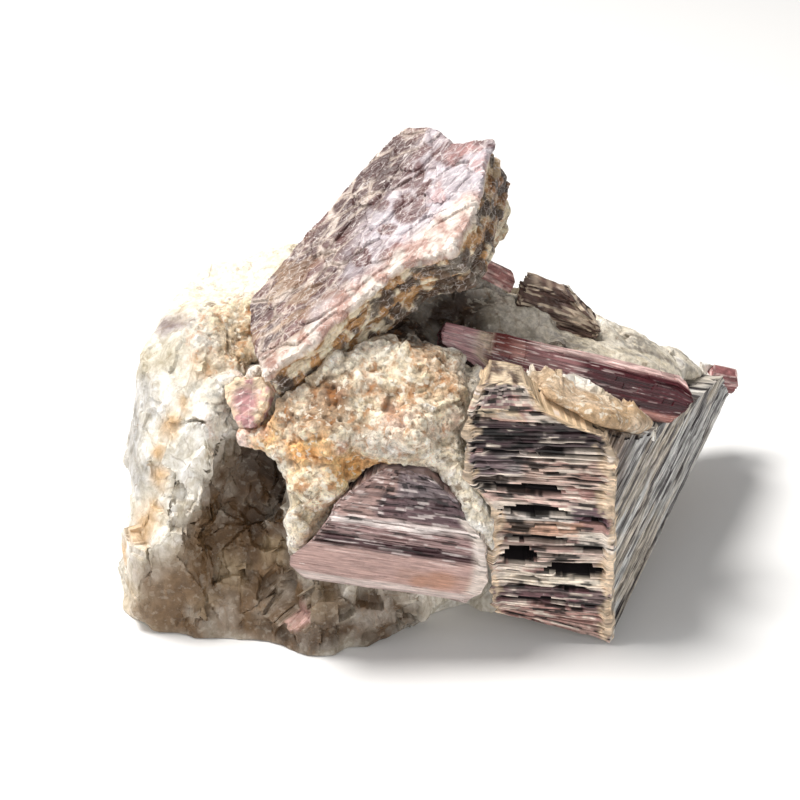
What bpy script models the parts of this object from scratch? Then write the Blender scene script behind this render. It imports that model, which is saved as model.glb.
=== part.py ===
# Lepidolite specimen: mica crystals grown together on a quartz and albite matrix.
# Corner points and lengths are written in millimetres and scaled once, at the end.

import bmesh
import bpy
import numpy as np
from mathutils import Vector, kdtree, noise

METRES_PER_MM = 0.001
GROWTH_GAP = 0.3
ROOM_MARGIN = 0.42

# Matrix: remeshing and roughness
VOXEL = 1.0
WELD = 0.02
LUMP_TRIANGLES = 3900
MATRIX_TRIANGLES = 4300
FACET_SPACING = 9.5
FACET_TILT = 0.3
GRAIN_SPACING = 4.2
GRAIN_HEIGHT = 1.15
ROUGHNESS = 0.4
SKIN = 0.45

# Big book: the mica layers rise to the back, and the lowest dip to the right at the front
BOOK_CORNER = (22.6, -19.2, 0.6)
BOOK_RISE = 0.268
BOOK_DIP_HEIGHTS = (0, 4, 12, 22, 28, 37)
BOOK_DIPS = (0.29, 0.11, 0.06, 0.09, 0.03, 0.0)

# Plate: the broad face points up and to the front left
PLATE_ORIGIN = (-20.5, -14.5, 36.5)
PLATE_NORMAL = (-0.386, -0.406, 0.828)
PLATE_SIDE = (0.46, -0.863, -0.209)
PLATE_THICKNESS = 8.5
SCALE_HEIGHT = 0.3

# Wedge: its layers dip to the right
WEDGE_DIP = 0.2
WEDGE_TIP_X = -17.5

# Lath
LATH_LEFT = (1.0, -4.5, 36.6)
LATH_RIGHT = (33.2, -6.2, 28.2)
LATH_FACE_TILT = 0.62


def clear_scene():
    for obj in list(bpy.data.objects):
        bpy.data.objects.remove(obj, do_unlink=True)


def unit(vector):
    vector = np.array(vector, float)
    return vector / np.linalg.norm(vector)


def new_object(name, points, faces):
    mesh = bpy.data.meshes.new(name)
    mesh.from_pydata([tuple(p) for p in points], [], faces)
    obj = bpy.data.objects.new(name, mesh)
    bpy.context.scene.collection.objects.link(obj)
    return obj


def face_outwards(obj):
    work = bmesh.new()
    work.from_mesh(obj.data)
    bmesh.ops.triangulate(work, faces=work.faces)
    bmesh.ops.recalc_face_normals(work, faces=work.faces)
    if work.calc_volume(signed=True) < 0:
        bmesh.ops.reverse_faces(work, faces=work.faces)
    work.to_mesh(obj.data)
    work.free()


def hull(name, corners):
    work = bmesh.new()
    for corner in corners:
        work.verts.new(corner)
    made = bmesh.ops.convex_hull(work, input=work.verts)
    unused = [v for v in made["geom_interior"] if isinstance(v, bmesh.types.BMVert)]
    bmesh.ops.delete(work, geom=unused, context="VERTS")
    mesh = bpy.data.meshes.new(name)
    work.to_mesh(mesh)
    work.free()
    obj = bpy.data.objects.new(name, mesh)
    bpy.context.scene.collection.objects.link(obj)
    face_outwards(obj)
    return obj


def baked(obj):
    """The evaluated mesh of an object takes the place of its mesh and modifiers."""
    graph = bpy.context.evaluated_depsgraph_get()
    mesh = bpy.data.meshes.new_from_object(obj.evaluated_get(graph))
    obj.modifiers.clear()
    obj.data = mesh
    return obj


def joined(name, objects):
    work = bmesh.new()
    for obj in objects:
        work.from_mesh(obj.data)
        bpy.data.objects.remove(obj, do_unlink=True)
    mesh = bpy.data.meshes.new(name)
    work.to_mesh(mesh)
    work.free()
    obj = bpy.data.objects.new(name, mesh)
    bpy.context.scene.collection.objects.link(obj)
    return obj


def coordinates(mesh):
    flat = np.empty(len(mesh.vertices) * 3)
    mesh.vertices.foreach_get("co", flat)
    return flat.reshape(-1, 3)


def normals(mesh):
    flat = np.empty(len(mesh.vertices) * 3)
    mesh.vertices.foreach_get("normal", flat)
    return flat.reshape(-1, 3)


def set_coordinates(mesh, points):
    mesh.vertices.foreach_set("co", np.asarray(points, float).ravel())
    mesh.update()


# Stacked layers: one closed ring after another along the growth axis


def blended_outline(keys, height):
    """Corners at a height, between the key outlines below and above it."""
    heights = [key[0] for key in keys]
    corners = np.array([key[1] for key in keys], float)
    flat = corners.reshape(len(keys), -1)
    columns = [np.interp(height, heights, column) for column in flat.T]
    return np.array(columns).reshape(-1, 2)


def sampled(corners, per_side):
    """Points along the sides, with the side and the share of it for each point."""
    points = []
    places = []
    for side, count in enumerate(per_side):
        start = corners[side]
        end = corners[(side + 1) % len(corners)]
        for step in range(count):
            share = step / count
            points.append(start + (end - start) * share)
            places.append((side, share))
    return np.array(points), places


def inward(points):
    """Unit directions into a loop that runs anticlockwise."""
    along = np.roll(points, -1, axis=0) - np.roll(points, 1, axis=0)
    into = np.stack([-along[:, 1], along[:, 0]], axis=1)
    return into / np.linalg.norm(into, axis=1)[:, None]


def anticlockwise(points):
    x, y = points.T
    return np.sum(x * np.roll(y, -1) - np.roll(x, -1) * y) > 0


def stack(name, keys, per_side, levels, depth_at, place, bevel=0.06):
    """A closed body of layers; depth_at gives how far each point of a layer is set back."""
    rings = []
    for layer, (low, high) in enumerate(zip(levels[:-1], levels[1:])):
        for height in (low + bevel, high - bevel):
            points, places = sampled(blended_outline(keys, height), per_side)
            into = inward(points) if anticlockwise(points) else -inward(points)
            depths = [depth_at(layer, (low + high) / 2, *spot) for spot in places]
            points = points + into * np.array(depths)[:, None]
            rings.append([place(a, b, height) for a, b in points])
    return body_of_rings(name, rings)


def body_of_rings(name, rings):
    count = len(rings[0])
    points = [point for ring in rings for point in ring]
    faces = []
    for ring in range(len(rings) - 1):
        for step in range(count):
            after = (step + 1) % count
            low = ring * count
            high = low + count
            faces.append((low + step, low + after, high + after, high + step))
    for ring, first in ((rings[0], 0), (rings[-1], len(points) - count)):
        faces.extend(fan(points, first, count))
        points.append(np.mean(np.array(ring), axis=0))
    obj = new_object(name, points, faces)
    face_outwards(obj)
    return obj


def fan(points, first, count):
    middle = len(points)
    return [(first + step, first + (step + 1) % count, middle) for step in range(count)]


def grown(name, keys, per_side, place, steps=8):
    """The plain envelope of a crystal, larger by the growth gap on every side."""
    low = keys[0][0]
    high = keys[-1][0]
    heights = sorted({key[0] for key in keys} | set(np.linspace(low, high, steps)))
    rings = []
    for height in heights:
        points, _ = sampled(blended_outline(keys, height), per_side)
        into = inward(points) if anticlockwise(points) else -inward(points)
        wide = points - into * ROOM_MARGIN
        if height == low:
            height = low - ROOM_MARGIN
        if height == high:
            height = high + ROOM_MARGIN
        rings.append([place(a, b, height) for a, b in wide])
    return body_of_rings(name, rings)


def ragged(low, high, seed):
    """Set-back of each layer and point, the same for the same seed."""
    values = {}
    rng = np.random.default_rng(seed)

    def at(layer, side, share):
        key = (layer, side, round(share, 3))
        if key not in values:
            values[key] = rng.uniform(low, high)
        return values[key]

    return at


# Big mica book: side 0 is the front, side 1 the right face

BOOK_OUTLINES = (
    (0.0, ((8.5, -18.8), (23.0, -19.2), (43.0, 24.0), (27.0, 27.0))),
    (6.3, ((7.6, -19.1), (22.9, -19.2), (41.2, 20.0), (24.0, 23.0))),
    (12.2, ((7.5, -19.2), (22.8, -19.2), (35.6, 8.0), (20.0, 13.0))),
    (19.0, ((7.4, -19.2), (22.5, -19.2), (29.6, -4.0), (13.5, -0.5))),
    (22.5, ((4.4, -19.2), (22.5, -19.2), (27.0, -9.6), (11.0, -6.0))),
    (27.3, ((4.0, -19.2), (22.5, -19.2), (24.3, -15.2), (8.0, -11.0))),
    (30.4, ((4.0, -19.2), (21.0, -19.2), (21.2, -17.8), (7.0, -12.0))),
    (31.6, ((4.0, -19.1), (17.6, -19.1), (17.0, -15.0), (6.0, -12.6))),
    (33.4, ((4.6, -18.8), (13.8, -18.9), (12.8, -14.0), (6.0, -12.0))),
    (36.6, ((6.0, -18.2), (11.6, -18.4), (11.0, -14.8), (7.0, -13.8))),
)
BOOK_POINTS = (10, 6, 2, 3)
BOOK_LEVELS = (
    0, 1.4, 2.7, 3.9, 4.9, 6.2, 7.7, 9.3, 11.2, 13.1, 14.1, 15.3, 17.2, 18.2,
    19.6, 21.2, 22.6, 24.1, 25.7, 26.9, 27.6, 29.2, 30.4, 31.6, 32.4, 33.4, 34.9, 36.6,
)
# Open slots in the front: share along it from the left, height, and depth
BOOK_SLOTS = (
    (0.42, 0.97, 9.3, 11.2, 1.9),
    (0.10, 0.42, 11.2, 13.1, 2.3),
    (0.72, 0.97, 13.1, 14.1, 1.4),
    (0.05, 0.68, 14.1, 15.3, 0.8),
    (0.05, 0.68, 18.2, 19.6, 1.9),
    (0.05, 0.68, 21.2, 22.6, 1.5),
    (0.68, 0.97, 17.2, 18.2, 0.9),
    (0.05, 0.97, 26.9, 27.6, 1.1),
    (0.45, 0.97, 31.6, 32.4, 1.1),
    (0.00, 0.97, 4.9, 6.2, 0.7),
)


def place_book(x, y, height):
    dip = np.interp(height, BOOK_DIP_HEIGHTS, BOOK_DIPS)
    rise = (y - BOOK_CORNER[1]) * BOOK_RISE
    lift = dip * max(0.0, BOOK_CORNER[0] - x)
    return (x, y, BOOK_CORNER[2] + height + rise + lift)


def book_depth(layer, middle, side, share):
    depth = BOOK_RAGGED(layer, side, share) + (layer % 3) * 0.12
    for start, end, low, high, slot in BOOK_SLOTS:
        if side == 0 and low <= middle <= high and start <= share <= end:
            depth += slot
    return depth


BOOK_RAGGED = ragged(0.0, 0.45, 31)


def make_book():
    return stack(
        "lepidolite_book", BOOK_OUTLINES, BOOK_POINTS, BOOK_LEVELS, book_depth, place_book
    )


# Tilted plate: height runs down from the scaly face

PLATE_ALONG = np.cross(unit(PLATE_NORMAL), unit(PLATE_SIDE))
PLATE_FACE = (
    (0.0, 0.0), (5.3, 0.3), (13.2, -0.5), (21.9, -0.9), (27.6, 2.0), (31.5, 0.1),
    (34.8, -3.3), (40.0, -8.8), (36.4, -12.6), (35.5, -17.0), (33.1, -19.4),
    (30.2, -19.4), (23.3, -17.7), (13.8, -14.8), (4.3, -11.7), (1.6, -6.0),
)
PLATE_OUTLINES = (
    (0.0, PLATE_FACE),
    (4.0, PLATE_FACE),
    (PLATE_THICKNESS, PLATE_FACE),
)
PLATE_POINTS = (2, 3, 3, 2, 2, 2, 2, 2, 2, 1, 1, 2, 3, 3, 2, 2)
PLATE_LEVELS = (0.0, 1.2, 3.2, 4.8, 6.6, 8.5)
SCALE_CORNERS = ((-0.5, 0.1), (-0.3, -0.5), (0.3, -0.42), (0.5, -0.1), (0.2, 0.5), (-0.35, 0.4))
# Scales of the face: place along and across it, length, width and turn
PLATE_SCALES = (
    (5.6, -4.4, 8.0, 4.2, -0.25), (9.0, -9.6, 7.0, 3.0, -0.3), (13.4, -3.6, 11.0, 3.6, -0.1),
    (18.4, -13.0, 9.0, 4.0, -0.4), (15.4, -8.4, 11.0, 3.2, -0.2), (22.6, -5.4, 8.5, 5.2, -0.1),
    (26.4, -15.2, 8.5, 4.2, -0.45), (24.6, -10.2, 7.0, 3.4, -0.3), (29.4, -1.6, 6.0, 4.4, 0.3),
    (31.8, -14.4, 6.0, 4.8, -0.5), (32.6, -7.6, 7.6, 4.4, -0.6),
)


def place_plate(along, across, down):
    base = np.array(PLATE_ORIGIN) + unit(PLATE_SIDE) * across + PLATE_ALONG * along
    return tuple(base - unit(PLATE_NORMAL) * down)


PLATE_RAGGED = ragged(0.0, 0.5, 47)


def plate_depth(layer, middle, side, share):
    return PLATE_RAGGED(layer, side, share) + 0.35 * (layer % 2) + 0.12 * layer


def make_scale(number, along, across, length, width, turn):
    """A thin six-sided flake, higher at its lower end, that overlaps the next one."""
    rng = np.random.default_rng(number)
    corners = []
    for lengthwise, crosswise in SCALE_CORNERS:
        a = (lengthwise + rng.uniform(-0.09, 0.09)) * length
        b = (crosswise + rng.uniform(-0.09, 0.09)) * width
        x = along + a * np.cos(turn) - b * np.sin(turn)
        y = across + a * np.sin(turn) + b * np.cos(turn)
        top = SCALE_HEIGHT * (0.9 - lengthwise) * (0.7 + 0.15 * (number % 4))
        corners.append(place_plate(x, y, -top))
        corners.append(place_plate(x, y, 1.2 + 0.07 * number))
    return hull("scale", corners)


def make_plate():
    plate = stack(
        "lepidolite_plate", PLATE_OUTLINES, PLATE_POINTS, PLATE_LEVELS, plate_depth, place_plate
    )
    for number, scale in enumerate(PLATE_SCALES):
        combine(plate, make_scale(number, *scale), "UNION")
    return plate


# Wedge crystal: side 0 is the front

WEDGE_OUTLINES = (
    (12.6, ((-15.5, -22.0), (4.5, -21.2), (5.0, -16.0), (-12.0, -17.0))),
    (14.6, ((-17.4, -22.5), (6.2, -21.8), (6.4, -14.5), (-14.0, -17.5))),
    (16.2, ((-17.2, -22.9), (6.7, -22.2), (6.8, -14.0), (-13.6, -17.0))),
    (19.0, ((-14.9, -23.4), (6.9, -22.6), (6.8, -13.5), (-12.0, -16.5))),
    (22.6, ((-12.6, -23.3), (6.4, -22.4), (6.2, -13.5), (-10.8, -16.0))),
    (24.2, ((-11.8, -22.0), (4.6, -21.0), (4.6, -13.5), (-10.0, -15.5))),
    (26.3, ((-9.0, -20.4), (3.2, -19.8), (3.4, -13.5), (-8.0, -15.0))),
    (28.4, ((-5.8, -18.6), (-0.6, -18.4), (-0.6, -14.0), (-5.6, -15.0))),
)
WEDGE_POINTS = (8, 2, 3, 2)
WEDGE_LEVELS = (12.6, 14.6, 16.2, 17.8, 19.2, 20.2, 21.4, 22.6, 24.2, 25.4, 26.6, 28.4)
WEDGE_RAGGED = ragged(0.0, 0.22, 59)


def place_wedge(x, y, height):
    return (x, y, height - WEDGE_DIP * (x - WEDGE_TIP_X))


def wedge_depth(layer, middle, side, share):
    groove = 0.35 if 19.2 < middle < 20.2 and side == 0 else 0.0
    return WEDGE_RAGGED(layer, side, share) + 0.14 * (layer % 2) + groove


def make_wedge():
    return stack(
        "lepidolite_wedge", WEDGE_OUTLINES, WEDGE_POINTS, WEDGE_LEVELS, wedge_depth, place_wedge
    )


# Lath: along its length, through its depth, and up its face

LATH_LENGTH = float(np.linalg.norm(np.subtract(LATH_RIGHT, LATH_LEFT)))
LATH_ALONG = unit(np.subtract(LATH_RIGHT, LATH_LEFT))
LATH_BACK = unit(np.cross(LATH_ALONG, (0.0, -LATH_FACE_TILT, -1.0)))
LATH_UP = np.cross(LATH_ALONG, LATH_BACK)
LATH_OUTLINES = (
    (0.0, ((5.0, 0.3), (31.6, 0.2), (31.0, 4.2), (5.0, 4.2))),
    (0.3, ((0.4, 0.1), (33.0, 0.0), (32.2, 4.8), (0.4, 4.6))),
    (0.7, ((0.0, 0.0), (33.8, 0.0), (32.6, 5.0), (0.0, 4.8))),
    (1.0, ((0.4, 0.3), (32.2, 0.4), (31.6, 4.4), (0.6, 4.2))),
)
LATH_POINTS = (12, 2, 5, 2)
LATH_LEVELS = (0.0, 0.14, 0.27, 0.42, 0.56, 0.7, 0.85, 1.0)
LATH_RAGGED = ragged(0.0, 0.35, 67)
LATH_JOINT = 5.8


def lath_edges(along):
    """Lower and upper edge of the face at a distance from the left end."""
    low = np.interp(along, (0, 5, 7, 21, 31, 34), (-1.6, -2.1, -2.9, -3.4, -3.2, -2.2))
    high = np.interp(along, (0, 5, 7, 21, 31, 34), (2.2, 2.3, 2.5, 3.0, 3.0, 1.4))
    return low, high


def place_lath(along, back, share):
    low, high = lath_edges(along)
    point = np.array(LATH_LEFT) + LATH_ALONG * along + LATH_BACK * back
    return tuple(point + LATH_UP * (low + (high - low) * share))


def lath_depth(layer, middle, side, share):
    length = share * LATH_LENGTH
    joint = 0.7 if side == 0 and abs(length - LATH_JOINT) < 1.5 else 0.0
    return LATH_RAGGED(layer, side, share) + 0.15 * (layer % 2) + joint


def make_lath():
    return stack(
        "lepidolite_lath", LATH_OUTLINES, LATH_POINTS, LATH_LEVELS, lath_depth, place_lath, 0.01
    )


# Small crystals

BACK_BOOK_OUTLINES = (
    (0.0, ((10.8, 5.6), (22.0, 7.4), (22.0, 13.0), (12.0, 12.5))),
    (3.0, ((11.2, 6.2), (23.0, 8.0), (22.4, 12.6), (12.4, 12.4))),
    (5.4, ((11.8, 7.8), (19.0, 9.2), (18.4, 12.4), (12.8, 12.2))),
)
BACK_BOOK_LEVELS = (0.0, 0.9, 1.8, 2.7, 3.5, 4.4, 5.4)
BACK_BOOK_POINTS = (5, 2, 4, 2)
BACK_BOOK_BASE = 32.6
BACK_BOOK_FALL = 0.42
BACK_BOOK_RAGGED = ragged(0.0, 0.4, 71)

BACK_LATH_OUTLINES = (
    (0.0, ((0.0, -1.0), (6.2, -1.0), (6.2, 1.2), (0.0, 1.2))),
    (1.6, ((0.3, -0.8), (6.0, -0.7), (6.0, 1.0), (0.4, 1.0))),
    (2.4, ((1.2, -0.4), (5.2, -0.3), (5.2, 0.6), (1.2, 0.6))),
)
BACK_LATH_POINTS = (4, 2, 3, 2)
BACK_LATH_START = (5.4, 7.2, 40.0)
BACK_LATH_ALONG = unit((0.72, 0.2, -0.5))

PRISM_OUTLINES = (
    (0.0, ((0.0, -1.4), (4.4, -1.0), (4.6, 1.6), (0.2, 1.6))),
    (1.6, ((0.2, -1.5), (4.8, -1.0), (4.9, 1.5), (0.3, 1.7))),
    (3.0, ((0.6, -1.0), (4.2, -0.7), (4.2, 1.2), (0.8, 1.2))),
)
PRISM_POINTS = (3, 2, 3, 2)
PRISM_START = (39.3, 26.2, 12.6)
PRISM_UP = unit((0.25, -0.2, 1.0))

ROSETTE_CENTRE = (-22.5, -12.6, 32.0)
ROSETTE_OUT = unit((-0.35, -0.8, 0.45))
ROSETTE_RADIUS = 3.7
ROSETTE_DEPTH = 2.3
ROSETTE_FLAKES = ((0.0, 0.0, 2.6), (0.9, 1.2, 2.0), (-1.2, 0.8, 1.9), (0.4, -1.4, 1.8))


def place_back_book(x, y, height):
    return (x, y, BACK_BOOK_BASE + height - BACK_BOOK_FALL * (x - 12.0))


def back_book_depth(layer, middle, side, share):
    return BACK_BOOK_RAGGED(layer, side, share) + 0.3 * (layer % 2)


def make_back_book():
    return stack(
        "back_mica_book",
        BACK_BOOK_OUTLINES,
        BACK_BOOK_POINTS,
        BACK_BOOK_LEVELS,
        back_book_depth,
        place_back_book,
    )


def place_back_lath(along, back, up):
    side = unit(np.cross((0.0, 0.0, 1.0), BACK_LATH_ALONG))
    rise = np.cross(BACK_LATH_ALONG, side)
    point = np.array(BACK_LATH_START) + BACK_LATH_ALONG * along + side * back + rise * up
    return tuple(point)


def make_back_lath():
    return stack(
        "back_lath",
        BACK_LATH_OUTLINES,
        BACK_LATH_POINTS,
        (0.0, 0.8, 1.6, 2.4),
        lambda layer, middle, side, share: 0.1 * (layer % 2),
        place_back_lath,
    )


def place_prism(along, back, up):
    across = unit(np.cross((0.0, 1.0, 0.0), PRISM_UP))
    depth = np.cross(PRISM_UP, across)
    point = np.array(PRISM_START) + across * along + depth * back + PRISM_UP * up
    return tuple(point)


def make_prism():
    return stack(
        "corner_prism",
        PRISM_OUTLINES,
        PRISM_POINTS,
        (0.0, 0.8, 1.6, 2.3, 3.0),
        lambda layer, middle, side, share: 0.16 * (layer % 2),
        place_prism,
    )


def rosette_flake(number, across, up, radius):
    side = unit(np.cross((0.0, 0.0, 1.0), ROSETTE_OUT))
    rise = np.cross(ROSETTE_OUT, side)
    lean = 0.22 * (number - 1.5)
    corners = []
    for corner in range(6):
        angle = corner * np.pi / 3 + 0.4 * number
        a = across + radius * np.cos(angle)
        b = up + radius * np.sin(angle)
        point = np.array(ROSETTE_CENTRE) + side * a + rise * b
        front = 0.7 + 0.25 * number + lean * np.cos(angle)
        corners.append(point + ROSETTE_OUT * front)
        corners.append(point - ROSETTE_OUT * (1.4 + 0.11 * number))
    return hull("flake", corners)


def make_rosette():
    rosette = rosette_flake(0, *ROSETTE_FLAKES[0])
    rosette.name = "pink_rosette"
    for number, flake in enumerate(ROSETTE_FLAKES[1:], 1):
        combine(rosette, rosette_flake(number, *flake), "UNION")
    return rosette


def rosette_envelope():
    """The round seat that holds the whole rosette, with the growth gap around it."""
    side = unit(np.cross((0.0, 0.0, 1.0), ROSETTE_OUT))
    rise = np.cross(ROSETTE_OUT, side)
    corners = []
    for corner in range(12):
        angle = corner * np.pi / 6
        ring = side * np.cos(angle) + rise * np.sin(angle)
        for out in (ROSETTE_DEPTH, -ROSETTE_DEPTH):
            corners.append(np.array(ROSETTE_CENTRE) + ring * ROSETTE_RADIUS + ROSETTE_OUT * out)
    return hull("rosette_room", corners)


# Matrix: convex lumps, merged, roughened and cut to seat the crystals

MATRIX_LUMPS = (
    # upper left pillar
    (
        (-38.4, -3.0, 31.0), (-39.6, -5.0, 25.6), (-36.8, -11.0, 17.0), (-31.6, -6.5, 35.4),
        (-25.6, -10.0, 33.0), (-28.0, -16.0, 24.0), (-30.6, -18.6, 15.5), (-33.8, 4.0, 35.2),
        (-37.4, 6.0, 20.0), (-24.0, 6.0, 36.6), (-22.0, 4.0, 15.0), (-36.4, 6.0, 12.0),
    ),
    # left foot
    (
        (-39.8, -14.0, 5.6), (-39.6, -13.0, -1.5), (-36.0, -18.0, -1.5), (-36.2, -18.4, 5.3),
        (-30.6, -19.0, 15.5), (-37.2, -12.0, 17.0), (-38.4, 8.0, -1.5), (-38.0, 6.0, 16.0),
        (-29.0, -16.5, -1.5), (-24.0, 4.0, -1.5), (-24.0, 4.0, 16.0), (-28.0, -12.0, 13.0),
    ),
    # cap
    (
        (-33.6, 5.0, 36.2), (-27.2, 10.6, 41.0), (-18.0, 12.6, 43.4), (-31.4, -5.5, 35.0),
        (-25.4, -7.6, 34.4), (-17.0, -4.0, 36.8), (-35.0, 8.0, 27.0), (-20.0, 18.0, 30.0),
        (-31.0, 15.0, 26.0), (-29.0, 14.0, 16.0), (-14.0, 10.0, 24.0), (-8.0, 12.0, 43.0),
    ),
    # core behind the recess
    (
        (-31.0, -11.0, -1.5), (-33.0, 16.0, -1.5), (-27.0, -6.5, 27.0), (-12.0, -8.0, 26.0),
        (10.0, -12.0, -1.5), (22.0, 20.0, -1.5), (-24.0, 21.0, -1.5), (-26.0, 16.0, 30.0),
        (6.0, 16.0, 38.0), (8.0, -10.0, 30.0), (-10.0, -8.0, 36.0), (18.0, 18.0, 24.0),
    ),
    # apron at the foot of the recess
    (
        (-30.0, -18.0, -1.5), (-17.0, -21.6, -1.5), (-23.0, -20.8, -1.5), (-28.8, -15.4, 4.0),
        (-22.0, -16.6, 5.0), (-18.0, -19.0, 6.0), (-26.0, -8.0, 16.0), (-18.0, -8.5, 17.0),
        (-20.0, -4.0, -1.5), (-28.0, -4.0, -1.5),
    ),
    # toe
    (
        (-17.4, -20.8, 14.0), (-16.8, -21.2, -1.5), (-12.0, -21.4, -1.5), (-10.2, -19.8, -1.5),
        (-8.6, -16.0, -1.5), (-5.0, -12.0, -1.5), (0.0, -8.0, -1.5), (5.4, -19.0, 9.6),
        (-2.0, -20.4, 9.8), (-11.0, -21.2, 11.0), (-16.0, -10.0, 14.0), (6.0, -8.0, 14.0),
        (6.0, -8.0, -1.5), (-16.0, -8.0, -1.5),
    ),
    # crust shelf
    (
        (-25.4, -9.6, 33.4), (-24.0, -13.6, 29.0), (-19.4, -15.0, 25.6), (-15.6, -18.8, 25.8),
        (-11.0, -18.0, 25.4), (-3.8, -17.0, 29.2), (3.4, -17.6, 27.4), (4.8, -12.6, 34.6),
        (-3.8, -10.4, 38.8), (-20.0, -8.0, 36.0), (-16.0, -16.6, 32.4), (-21.0, -4.0, 25.0),
        (5.0, -4.0, 25.0), (4.0, -4.0, 36.0),
    ),
    # cream panel beside the wedge
    (
        (-17.6, -20.4, 23.6), (-15.8, -19.6, 26.0), (-17.6, -21.0, 14.4), (-12.0, -20.6, 12.0),
        (-10.0, -19.4, 23.4), (-4.0, -17.0, 27.0), (-4.0, -18.6, 10.0), (-17.0, -11.0, 25.0),
        (-17.0, -11.0, 12.0), (-4.0, -11.0, 27.0), (-4.0, -11.0, 10.0),
    ),
    # shelf that carries the lath
    (
        (0.5, -9.0, 33.0), (9.0, -12.0, 31.6), (16.0, -12.5, 29.4), (24.0, -11.5, 26.8),
        (30.0, -5.0, 24.8), (31.0, 0.0, 25.8), (20.0, 2.0, 31.6), (2.0, 1.0, 36.6),
        (0.0, -8.0, 26.0), (26.0, -6.0, 22.0), (26.0, 6.0, 22.0), (0.0, 4.0, 26.0),
    ),
    # tan lump under the lath
    (
        (12.2, -18.6, 37.6), (17.6, -19.4, 34.2), (22.6, -19.4, 32.6), (26.2, -15.4, 30.2),
        (29.6, -9.0, 27.0), (23.0, -8.6, 29.0), (9.0, -11.6, 36.4), (14.0, -12.0, 28.0),
        (24.0, -9.0, 24.0),
    ),
    # crust between the wedge and the big book
    (
        (0.4, -18.8, 28.4), (4.0, -19.6, 25.4), (6.8, -20.4, 20.6), (7.0, -20.6, 15.6),
        (4.4, -20.8, 17.0), (1.0, -13.0, 28.0), (7.0, -12.0, 23.0), (7.0, -12.0, 12.0),
        (2.0, -12.0, 14.0),
    ),
    # ridge down to the back right
    (
        (7.0, 12.0, 38.0), (14.0, 12.4, 34.2), (19.0, 12.6, 32.8), (22.4, 13.4, 29.6),
        (28.0, 14.6, 24.4), (35.6, 18.6, 18.4), (39.6, 24.0, 14.8), (22.0, -2.0, 31.4),
        (31.0, 0.0, 26.0), (36.0, 10.0, 20.2), (5.0, 4.0, 35.6), (6.0, 18.0, 29.0),
        (24.0, 27.0, 10.0), (41.0, 28.4, 13.6), (8.0, 20.0, 10.0), (16.0, 2.0, 20.0),
        (40.6, 28.0, 10.0),
    ),
    # seat of the corner prism
    (
        (32.0, 20.0, 6.0), (32.0, 29.0, 6.0), (42.0, 25.4, 9.4), (42.0, 29.2, 9.4),
        (42.0, 25.4, 14.6), (42.0, 29.2, 13.8), (32.0, 20.0, 19.0), (32.0, 28.0, 17.0),
    ),
    # back foot
    (
        (-8.0, 22.0, -1.5), (20.0, 24.0, -1.5), (26.0, 14.0, -1.5), (24.0, 27.0, 8.0),
        (8.0, 27.0, 4.0), (-4.0, 22.0, 24.0), (20.0, 22.0, 22.0), (10.0, -4.0, -1.5),
        (17.0, -2.0, -1.5), (14.0, -4.0, 6.0), (-6.0, 2.0, -1.5), (34.0, 26.0, 12.0),
    ),
    # block behind the plate
    (
        (7.4, 6.6, 50.0), (9.8, 11.0, 49.4), (9.0, 12.6, 43.6), (7.4, 12.8, 38.0),
        (3.4, 14.6, 51.6), (-2.0, 15.0, 49.0), (3.0, 9.0, 39.0), (-8.0, 15.6, 43.0),
        (8.4, 7.4, 44.0), (-10.0, 10.0, 36.0), (4.0, 17.0, 40.0), (-4.0, 18.0, 32.0),
        (8.0, 16.0, 34.0), (-10.0, 2.0, 34.0),
    ),
)

# Small raised grains and knobs of the crust: centre and radius
MATRIX_KNOBS = (
    ((-2.6, -17.2, 31.0), 3.0),
    ((-6.4, -17.6, 29.4), 2.2),
    ((-10.8, -18.4, 31.0), 1.5),
    ((-11.4, -18.8, 29.0), 1.4),
    ((-23.8, -14.6, 27.6), 1.6),
    ((-21.2, -14.4, 35.0), 1.4),
    ((-17.6, -20.4, 5.4), 1.5),
    ((8.6, 9.4, 48.6), 2.2),
    ((7.8, 9.8, 43.6), 2.0),
    ((8.6, -12.6, 34.4), 1.8),
    ((19.0, -14.6, 31.4), 2.2),
    ((24.0, -12.6, 29.4), 2.0),
    ((-15.0, -18.4, 31.4), 2.0),
)

# Where the crust is granular instead of faceted: centre and radius
CRUST_ZONES = (
    ((-10.0, -16.0, 31.0), 15.0),
    ((4.0, -12.0, 34.0), 9.0),
    ((20.0, -12.0, 30.0), 10.0),
    ((8.0, 8.0, 46.0), 9.0),
)


def knob(centre, radius):
    work = bmesh.new()
    bmesh.ops.create_icosphere(work, subdivisions=1, radius=radius)
    mesh = bpy.data.meshes.new("knob")
    work.to_mesh(mesh)
    work.free()
    obj = bpy.data.objects.new("knob", mesh)
    bpy.context.scene.collection.objects.link(obj)
    set_coordinates(mesh, coordinates(mesh) + np.array(centre))
    return obj


def scattered(spacing, seed):
    """Seed points of the breaks and grains, about one in each cube of the spacing."""
    rng = np.random.default_rng(seed)
    low = np.array((-45.0, -28.0, -4.0))
    high = np.array((48.0, 32.0, 66.0))
    count = int(np.prod((high - low) / spacing))
    points = rng.uniform(low, high, (count, 3))
    tree = kdtree.KDTree(count)
    for index, point in enumerate(points):
        tree.insert(point, index)
    tree.balance()
    return points, tree, rng.normal(size=(count, 3))


def crust_share(point):
    nearest = min(
        np.linalg.norm(point - np.array(centre)) / radius for centre, radius in CRUST_ZONES
    )
    return float(np.clip(1.6 - nearest, 0.0, 1.0))


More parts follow.
